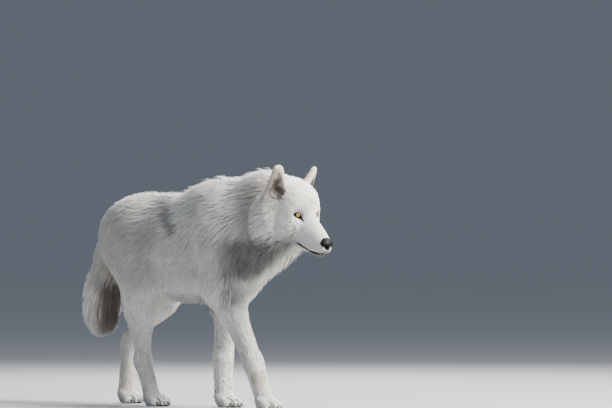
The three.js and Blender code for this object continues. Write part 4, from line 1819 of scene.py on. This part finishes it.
        points[:, :, 2] = np.maximum(points[:, :, 2], self.LOWEST)
        shape = Shape(points.reshape(-1, 3), all_corners, all_starts)
        shape.values[COLOUR] = np.repeat(colour, per_lock, axis=0)
        shape.values[ALONG] = np.tile(along, count)
        assert stations == rings + 1
        return shape, normals.reshape(-1, 3), uv.reshape(-1, 2)

    @staticmethod
    def lock_faces(rings: int) -> tuple[Array, Array, Array]:
        """Corners of one lock's faces, where each face starts, and their places in its patch.

        Args:
            rings: How many rings of three places it has.
        Returns:
            Corner numbers, face starts and map places.
        """
        faces = [([0, 1, 2], [(0.0, 0.0), (0.33, 0.0), (0.17, 0.1)])]
        rows = np.linspace(0.12, 1.0, rings + 1)
        for ring in range(rings - 1):
            for j in range(3):
                n = (j + 1) % 3
                a, b = ring * 3, ring * 3 + 3
                low, high = rows[ring], rows[ring + 1]
                faces.append(([a + j, b + j, b + n, a + n],
                              [(j / 3, low), (j / 3, high), ((j + 1) / 3, high), ((j + 1) / 3, low)]))
        last = (rings - 1) * 3
        for j in range(3):
            n = (j + 1) % 3
            faces.append(([last + n, last + j, rings * 3],
                          [((j + 1) / 3, rows[-2]), (j / 3, rows[-2]), ((j + 0.5) / 3, 1.0)]))
        corners = np.array([corner for face, _ in faces for corner in face])
        starts = np.cumsum([0] + [len(face) for face, _ in faces[:-1]])
        return corners, starts, np.array([place for _, places in faces for place in places])


def sides(name: str, area: Area, rings: int, **settings: float) -> list[CoatPiece]:
    """The right and left pieces of one area, alike but for their side."""
    return [CoatPiece(f"coat_{name}_{side}", (area,), sign, rings, **settings)
            for side, sign in (("right", 1.0), ("left", -1.0))]


SHORT = {"small_clump": 5.0, "small_pull": 0.45, "large_clump": 13.0, "large_pull": 0.22,
         "unruly": 0.24, "stray": 0.16, "reach": 1.25}
COAT_PIECES = [
    *sides("face", Area.FACE, 2, small_clump=4.5, small_pull=0.45, large_clump=14.0, large_pull=0.2,
           unruly=0.15, stray=0.1, reach=1.16),
    CoatPiece("coat_ears", (Area.EAR,), 0.0, 2, small_clump=4.0, small_pull=0.3, large_clump=9.0,
              large_pull=0.1, unruly=0.2, stray=0.12, reach=1.2),
    CoatPiece("coat_ruff", (Area.RUFF,), 0.0, 3, small_clump=8.0, small_pull=0.62, large_clump=20.0,
              large_pull=0.48, unruly=0.15, stray=0.14, reach=1.4),
    *sides("neck", Area.NECK, 3, large_pull=0.22, stray=0.1, reach=1.08),
    *sides("shoulder", Area.SHOULDER, 2, small_clump=8.0),
    *sides("flank", Area.FLANK, 2, small_clump=8.0, stray=0.1, reach=1.1),
    CoatPiece("coat_rump", (Area.RUMP,), 0.0, 2, small_clump=8.0, large_pull=0.2, stray=0.1),
    CoatPiece("coat_tail", (Area.TAIL,), 0.0, 3, large_pull=0.12, small_pull=0.35, stray=0.1, reach=1.12),
    *sides("thigh", Area.THIGH, 2, small_clump=7.0, unruly=0.16, stray=0.1, reach=1.15),
    *sides("foreleg", Area.FORELEG, 2, **SHORT),
    *sides("shank", Area.SHANK, 2, **SHORT),
]


# ---- eyes, nose, claws, whiskers


@dataclass
class Eyeball:
    """One eye: a ball with a raised cornea, looking along the gaze."""

    eye: EyeSet
    around: int = 56
    down: int = 40
    cornea: float = 1.5
    cornea_angle: float = 33.0
    iris_angle: float = 44.0

    def build(self, material: Material) -> Piece:
        """Makes the ball as rings round the gaze.

        Args:
            material: The eye's finish.
        Returns:
            The eye.
        """
        gaze = self.eye.axis(self.eye.gaze_turn)
        side = unit(np.cross(gaze, HEAD.direction(0.0, 0.0, 1.0)))
        above = np.cross(side, gaze)
        angle = np.linspace(0.0, math.pi, self.down + 1)[1:-1]
        turn = np.arange(self.around) / self.around * 2.0 * math.pi
        bulge = np.clip(1.0 - (np.degrees(angle) / self.cornea_angle) ** 2, 0.0, 1.0) ** 1.5
        radius = self.eye.radius - 0.35 + self.cornea * bulge * 0.75
        ring = np.cos(turn)[:, None] * side + np.sin(turn)[:, None] * above
        ahead, aside = radius * np.cos(angle), radius * np.sin(angle)
        rings = gaze * ahead[:, None, None] + ring * aside[:, None, None]
        front = gaze * (self.eye.radius - 0.35 + self.cornea * 0.75)
        back = -gaze * self.eye.radius
        points = np.concatenate([rings.reshape(-1, 3), [front], [back]]) + self.eye.centre
        faces: list[list[int]] = []
        n, rows = self.around, self.down - 1
        for j in range(n):
            k = (j + 1) % n
            faces.append([rows * n, k, j])
            faces.append([rows * n + 1, (rows - 1) * n + j, (rows - 1) * n + k])
            faces += [[i * n + j, i * n + k, (i + 1) * n + k, (i + 1) * n + j] for i in range(rows - 1)]
        offset = unit(points - self.eye.centre)
        away = np.degrees(np.arccos(np.clip(offset @ gaze, -1.0, 1.0))) / self.iris_angle
        spin = np.arctan2(offset @ above, offset @ side)
        shape = shape_of(points, faces)
        shape.values["gaze"] = np.stack([np.clip(away, 0.0, 1.0), np.cos(spin) * 2.2, np.sin(spin) * 2.2], 1)
        name = "eye_right" if self.eye.side > 0 else "eye_left"
        return shape.build(f"{name}_ball", material, "eye", [name])


def shape_of(points: Array, faces: list[list[int]]) -> Shape:
    """A shape from places and faces of any size.

    Args:
        points: Its places.
        faces: Corner numbers of each face.
    Returns:
        The shape.
    """
    corners = np.array([corner for face in faces for corner in face])
    starts = np.cumsum([0] + [len(face) for face in faces[:-1]])
    return Shape(points, corners, starts)


@dataclass
class Nose:
    """The nose leather: a broad pad with two nostrils, their slits and a middle groove."""

    cell: float = 0.95
    low: Triple = (-27.0, 92.0, -78.0)
    high: Triple = (27.0, 148.0, -24.0)

    @staticmethod
    def egg(points: Array, centre: Triple, radii: Triple) -> Array:
        """Distance to an egg given as forward, right, up."""
        forward, right, up = centre
        size = np.array([radii[1], radii[0], radii[2]])
        scaled = (points - np.array([right, forward, up])) / size
        near = np.sqrt((scaled**2).sum(-1))
        slope = np.sqrt(((scaled / size) ** 2).sum(-1))
        return near * (near - 1.0) / np.maximum(slope, 1e-6)

    @staticmethod
    def rod(points: Array, ends: tuple[Triple, Triple], radius: float) -> Array:
        """Distance to a round-ended rod given as forward, right, up."""
        a, b = (np.array([end[1], end[0], end[2]]) for end in ends)
        t = np.clip((points - a) @ (b - a) / ((b - a) @ (b - a)), 0.0, 1.0)
        return np.linalg.norm(points - a - t[:, None] * (b - a), axis=1) - radius

    def distance(self, points: Array) -> Array:
        """Distance to the leather in the head's frame."""
        pad = self.egg(points, (116.0, 0.0, -47.0), (20.0, 20.5, 16.5))
        pad = merge(pad, self.egg(points, (106.0, 0.0, -41.0), (18.0, 17.5, 12.5)), 8.0)
        for s in SIDES:
            pad = merge(pad, self.egg(points, (115.0, 13.0 * s, -50.5), (17.5, 10.5, 12.5)), 6.0)
        pad = merge(pad, self.egg(points, (124.0, 0.0, -63.0), (11.0, 6.5, 10.0)), 6.0)
        for s in SIDES:
            hole = self.rod(points, ((140.0, 9.5 * s, -54.0), (122.0, 13.0 * s, -50.0)), 6.0)
            slit = self.rod(points, ((136.0, 13.0 * s, -57.0), (112.0, 26.0 * s, -62.0)), 3.0)
            pad = -merge(-pad, merge(hole, slit, 3.0), 2.0)
        groove = self.rod(points, ((140.5, 0.0, -46.0), (136.0, 0.0, -76.0)), 1.1)
        return -merge(-pad, groove, 2.2)

    def build(self, material: Material) -> Piece:
        """Makes the nose.

        Args:
            material: Its finish.
        Returns:
            The nose.
        """
        places, shape = grid_points(np.array(self.low), np.array(self.high), self.cell)
        field_values = self.distance(places.astype(np.float64)).reshape(shape)
        points, quads = contour(field_values, np.array(self.low), self.cell)
        leather = Shape.of_quads(HEAD.world(points), quads)
        return leather.build("nose_leather", material, "nose_leather", ["nose"])


def tube(path: Array, radii: Array, sides: int) -> tuple[Array, list[list[int]]]:
    """A closed tapering tube along a path.

    Args:
        path: Places along it.
        radii: Its radius at each.
        sides: How many sides it has.
    Returns:
        Places and faces.
    """
    tangent = unit(np.gradient(path, axis=0))
    first = unit(np.cross(tangent, np.array([0.31, 0.2, 0.93])))
    second = np.cross(tangent, first)
    angle = np.arange(sides) / sides * 2.0 * math.pi
    ring = np.cos(angle)[None, :, None] * first[:, None] + np.sin(angle)[None, :, None] * second[:, None]
    points = (path[:, None] + ring * radii[:, None, None]).reshape(-1, 3)
    rows = len(path)
    faces = [list(range(sides - 1, -1, -1)), list(range((rows - 1) * sides, rows * sides))]
    for i in range(rows - 1):
        for j in range(sides):
            k = (j + 1) % sides
            faces.append([i * sides + j, i * sides + k, (i + 1) * sides + k, (i + 1) * sides + j])
    return points, faces


@dataclass
class Claws:
    """The claws of one leg, each a curved horn that narrows to a blunt point."""

    leg: Leg
    radius: float = 4.3
    length: float = 27.0
    droop: float = 17.0
    dew_radius: float = 4.0
    dew_length: float = 22.0
    dew_droop: float = 68.0
    rings: int = 9
    sides: int = 12

    def horn(self, root: Triple, radius: float, length: float, droop: float) -> tuple[Array, list[list[int]]]:
        """One claw.

        Args:
            root: Where it starts, as forward, right, up.
            radius: Its radius at the root.
            length: Its length, with the buried root.
            droop: Degrees that it points down.
        Returns:
            Places and faces.
        """
        axes = BODY.at(root, pitch=droop)
        t = np.linspace(0.0, 0.985, self.rings)
        path = np.stack([np.zeros_like(t), length * t, -length * 0.32 * t * t], 1)
        points, faces = tube(path, radius * (1.0 - t * t) ** 0.8 * 0.95, self.sides)
        return axes.world(points), faces

    def build(self, material: Material) -> Piece:
        """Makes the leg's claws as one piece.

        Args:
            material: Their finish.
        Returns:
            The claws.
        """
        horns = [self.horn((tip[0] + 1.0, tip[1], 19.5), self.radius, self.length, self.droop)
                 for tip in self.leg.toe_tips()]
        nodes = [f"{self.leg.name}_claw_{i + 1}" for i in range(4)]
        if self.leg.fore:
            forward, right, _ = self.leg.knuckle
            root = (forward - 7.0, right - 26.0 * self.leg.side, 56.0)
            horns.append(self.horn(root, self.dew_radius, self.dew_length, self.dew_droop))
            nodes.append(f"{self.leg.name}_dewclaw")
        points, faces = gather(horns)
        points[:, 2] = np.maximum(points[:, 2], 0.4)
        return shape_of(points, faces).build(f"claws_{self.leg.name}", material, "claw_horn", nodes)


def gather(parts: list[tuple[Array, list[list[int]]]]) -> tuple[Array, list[list[int]]]:
    """Joins several sets of places and faces into one."""
    points, faces, start = [], [], 0
    for places, own in parts:
        points.append(places)
        faces += [[corner + start for corner in face] for face in own]
        start += len(places)
    return np.concatenate(points), faces


@dataclass
class Whiskers:
    """Sparse stiff whiskers on both sides of the muzzle and over the eyes."""

    rows: tuple[float, ...] = (-57.0, -64.0, -71.0)
    columns: tuple[float, ...] = (78.0, 90.0, 102.0)
    length: float = 52.0
    radius: float = 0.42

    def build(self, material: Material) -> Piece:
        """Makes the whiskers.

        Args:
            material: Their finish.
        Returns:
            The whiskers.
        """
        random = np.random.default_rng(SEED + 1)
        parts = []
        for s in SIDES:
            for i, up in enumerate(self.rows):
                for forward in self.columns:
                    right = s * (27.0 - (forward - 78.0) * 0.22)
                    aim = np.array([s * 0.85, -0.42, -0.28 - 0.16 * i]) + random.normal(0.0, 0.09, 3)
                    root = np.array([right * 0.86, forward, up])
                    parts.append(self.hair(root, aim, random.uniform(0.7, 1.1)))
            for k in range(3):
                root = np.array([s * (34.0 + 3.0 * k), -2.0 - 5.0 * k, 22.0])
                parts.append(self.hair(root, np.array([s * 0.5, 0.15, 0.85]), 0.5))
        points, faces = gather(parts)
        return shape_of(points, faces).build("whiskers", material, "coat", [])

    def hair(self, root: Array, aim: Array, scale: float) -> tuple[Array, list[list[int]]]:
        """One whisker, bending back and down as it runs out.

        Args:
            root: Its place in the head's frame as right, forward, up.
            aim: The way it sets out.
            scale: Its share of the full length.
        Returns:
            Places and faces.
        """
        t = np.linspace(0.0, 1.0, 7)[:, None]
        bend = np.array([0.0, -0.34, -0.3])
        path = root + (unit(aim) * t + bend * t * t) * self.length * scale
        return tube(HEAD.world(path), self.radius * (1.0 - t[:, 0] * 0.85), 4)


# ---- studio


@dataclass
class Studio:
    """A plain pale floor, soft lights and a far, level camera."""

    floor_size: float = 400.0
    paint: Triple = (0.36, 0.36, 0.365)
    air: Triple = (0.33, 0.38, 0.46)
    azimuth: float = -40.0
    aim_right: float = 0.334
    aim_up: float = 0.677
    distance: float = 20.0
    lens: float = 353.0

    def build(self) -> None:
        """Sets up the floor, the lights, the surrounding light and the camera."""
        scene = bpy.context.scene
        half = self.floor_size / 2.0
        mesh = bpy.data.meshes.new("floor")
        corners = [(-half, -half, 0), (half, -half, 0), (half, half, 0), (-half, half, 0)]
        mesh.from_pydata(corners, [], [(0, 1, 2, 3)])
        paint = FloorFinish("floor_paint", roughness=0.8, specular=0.0, colour=self.paint)
        mesh.materials.append(paint.build())
        floor = bpy.data.objects.new("floor", mesh)
        scene.collection.objects.link(floor)
        world = bpy.data.worlds.new("studio")
        world.use_nodes = True
        nodes, links = world.node_tree.nodes, world.node_tree.links
        around = nodes["Background"]
        around.inputs["Color"].default_value = (*self.air, 1.0)
        seen = nodes.new("ShaderNodeBackground")
        seen.inputs["Color"].default_value = (*(a * b for a, b in zip(self.air, self.paint)), 1.0)
        path, mix = nodes.new("ShaderNodeLightPath"), nodes.new("ShaderNodeMixShader")
        links.new(path.outputs["Is Camera Ray"], mix.inputs[0])
        links.new(around.outputs[0], mix.inputs[1])
        links.new(seen.outputs[0], mix.inputs[2])
        links.new(mix.outputs[0], nodes["World Output"].inputs["Surface"])
        scene.world = world
        turn = math.radians(self.azimuth)
        back = Vector((math.sin(turn), -math.cos(turn), 0.0))
        right = Vector((math.cos(turn), math.sin(turn), 0.0))
        self.light("key", right * 3.0 + back * 1.6 + Vector((0, 0, 3.4)), 1.7, 900.0, (1.0, 0.965, 0.905))
        self.light("rim", right * 0.6 - back * 3.2 + Vector((0, 0, 3.2)), 2.6, 400.0, (0.95, 0.97, 1.0))
        self.light("fill", back * 4.5 - right * 2.6 + Vector((0, 0, 2.6)), 3.6, 60.0, (0.80, 0.89, 1.0))
        camera_data = bpy.data.cameras.new("camera")
        camera_data.lens = self.lens
        camera_data.clip_end = 400.0
        camera = bpy.data.objects.new("camera", camera_data)
        scene.collection.objects.link(camera)
        aim = right * self.aim_right + Vector((0, 0, self.aim_up))
        camera.location = aim + back * self.distance
        camera.rotation_mode = "QUATERNION"
        camera.rotation_quaternion = (-back).to_track_quat("-Z", "Y")
        scene.camera = camera

    @staticmethod
    def light(name: str, place: Vector, size: float, power: float, colour: Triple) -> None:
        """One soft square light that looks at the middle of the wolf.

        Args:
            name: The light's name.
            place: Where it hangs.
            size: Its side in metres.
            power: Its power in watts.
            colour: Its colour.
        """
        data = bpy.data.lights.new(name, "AREA")
        data.size, data.energy, data.color = size, power, colour
        lamp = bpy.data.objects.new(name, data)
        bpy.context.scene.collection.objects.link(lamp)
        lamp.location = place
        lamp.rotation_mode = "QUATERNION"
        lamp.rotation_quaternion = (Vector((0, 0, 0.45)) - place).to_track_quat("-Z", "Y")


# ---- the wolf


FLESH = [
    "trunk", "neck", "head", "lower_jaw", "tail", "ear_right", "ear_left",
    "foreleg_right_paw", "foreleg_right_forearm", "foreleg_left_paw", "foreleg_left_forearm",
    "hindleg_right_paw", "hindleg_right_hock", "hindleg_right_shank", "hindleg_right_thigh",
    "hindleg_left_paw", "hindleg_left_hock", "hindleg_left_shank", "hindleg_left_thigh",
]


def main() -> None:
    """Builds the wolf piece by piece, then its studio."""
    logging.basicConfig(level=logging.INFO, format="%(name)s %(message)s", stream=sys.stdout)
    groups = Groups(Grain(), RootShade())
    markings = Markings()
    body = Body()
    skin_finish = HairFinish("skin_and_underfur", roughness=0.9, specular=0.15, bump=0.5, grain_scale=520.0)
    hair_finish = HairFinish("coat_hair", roughness=0.72, specular=0.22, sheen=0.25, grain_strength=0.22)
    skin = Skin(body, markings)
    skin.build(skin_finish.build(groups), FLESH)
    coat = Coat(body, skin, markings, hair_finish.build(groups))
    for piece in COAT_PIECES:
        coat.grow(piece)
    eye_finish = EyeFinish("eye", roughness=0.12, specular=0.5, coat=1.0, coat_roughness=0.02).build()
    for eye in EYES:
        Eyeball(eye).build(eye_finish)
    Nose().build(LeatherFinish("nose_leather", roughness=0.5, specular=0.12, coat=0.03, coat_roughness=0.25,
                               colour=(0.008, 0.008, 0.009)).build())
    horn = HornFinish("claw_horn", roughness=0.38, specular=0.5, coat=0.2, coat_roughness=0.2,
                      colour=(0.02, 0.018, 0.016)).build()
    for leg in LEGS:
        Claws(leg).build(horn)
    Whiskers().build(Finish("whisker", roughness=0.4, colour=(0.55, 0.53, 0.50)).start()[0])
    Studio().build()


if __name__ == "__main__":
    main()
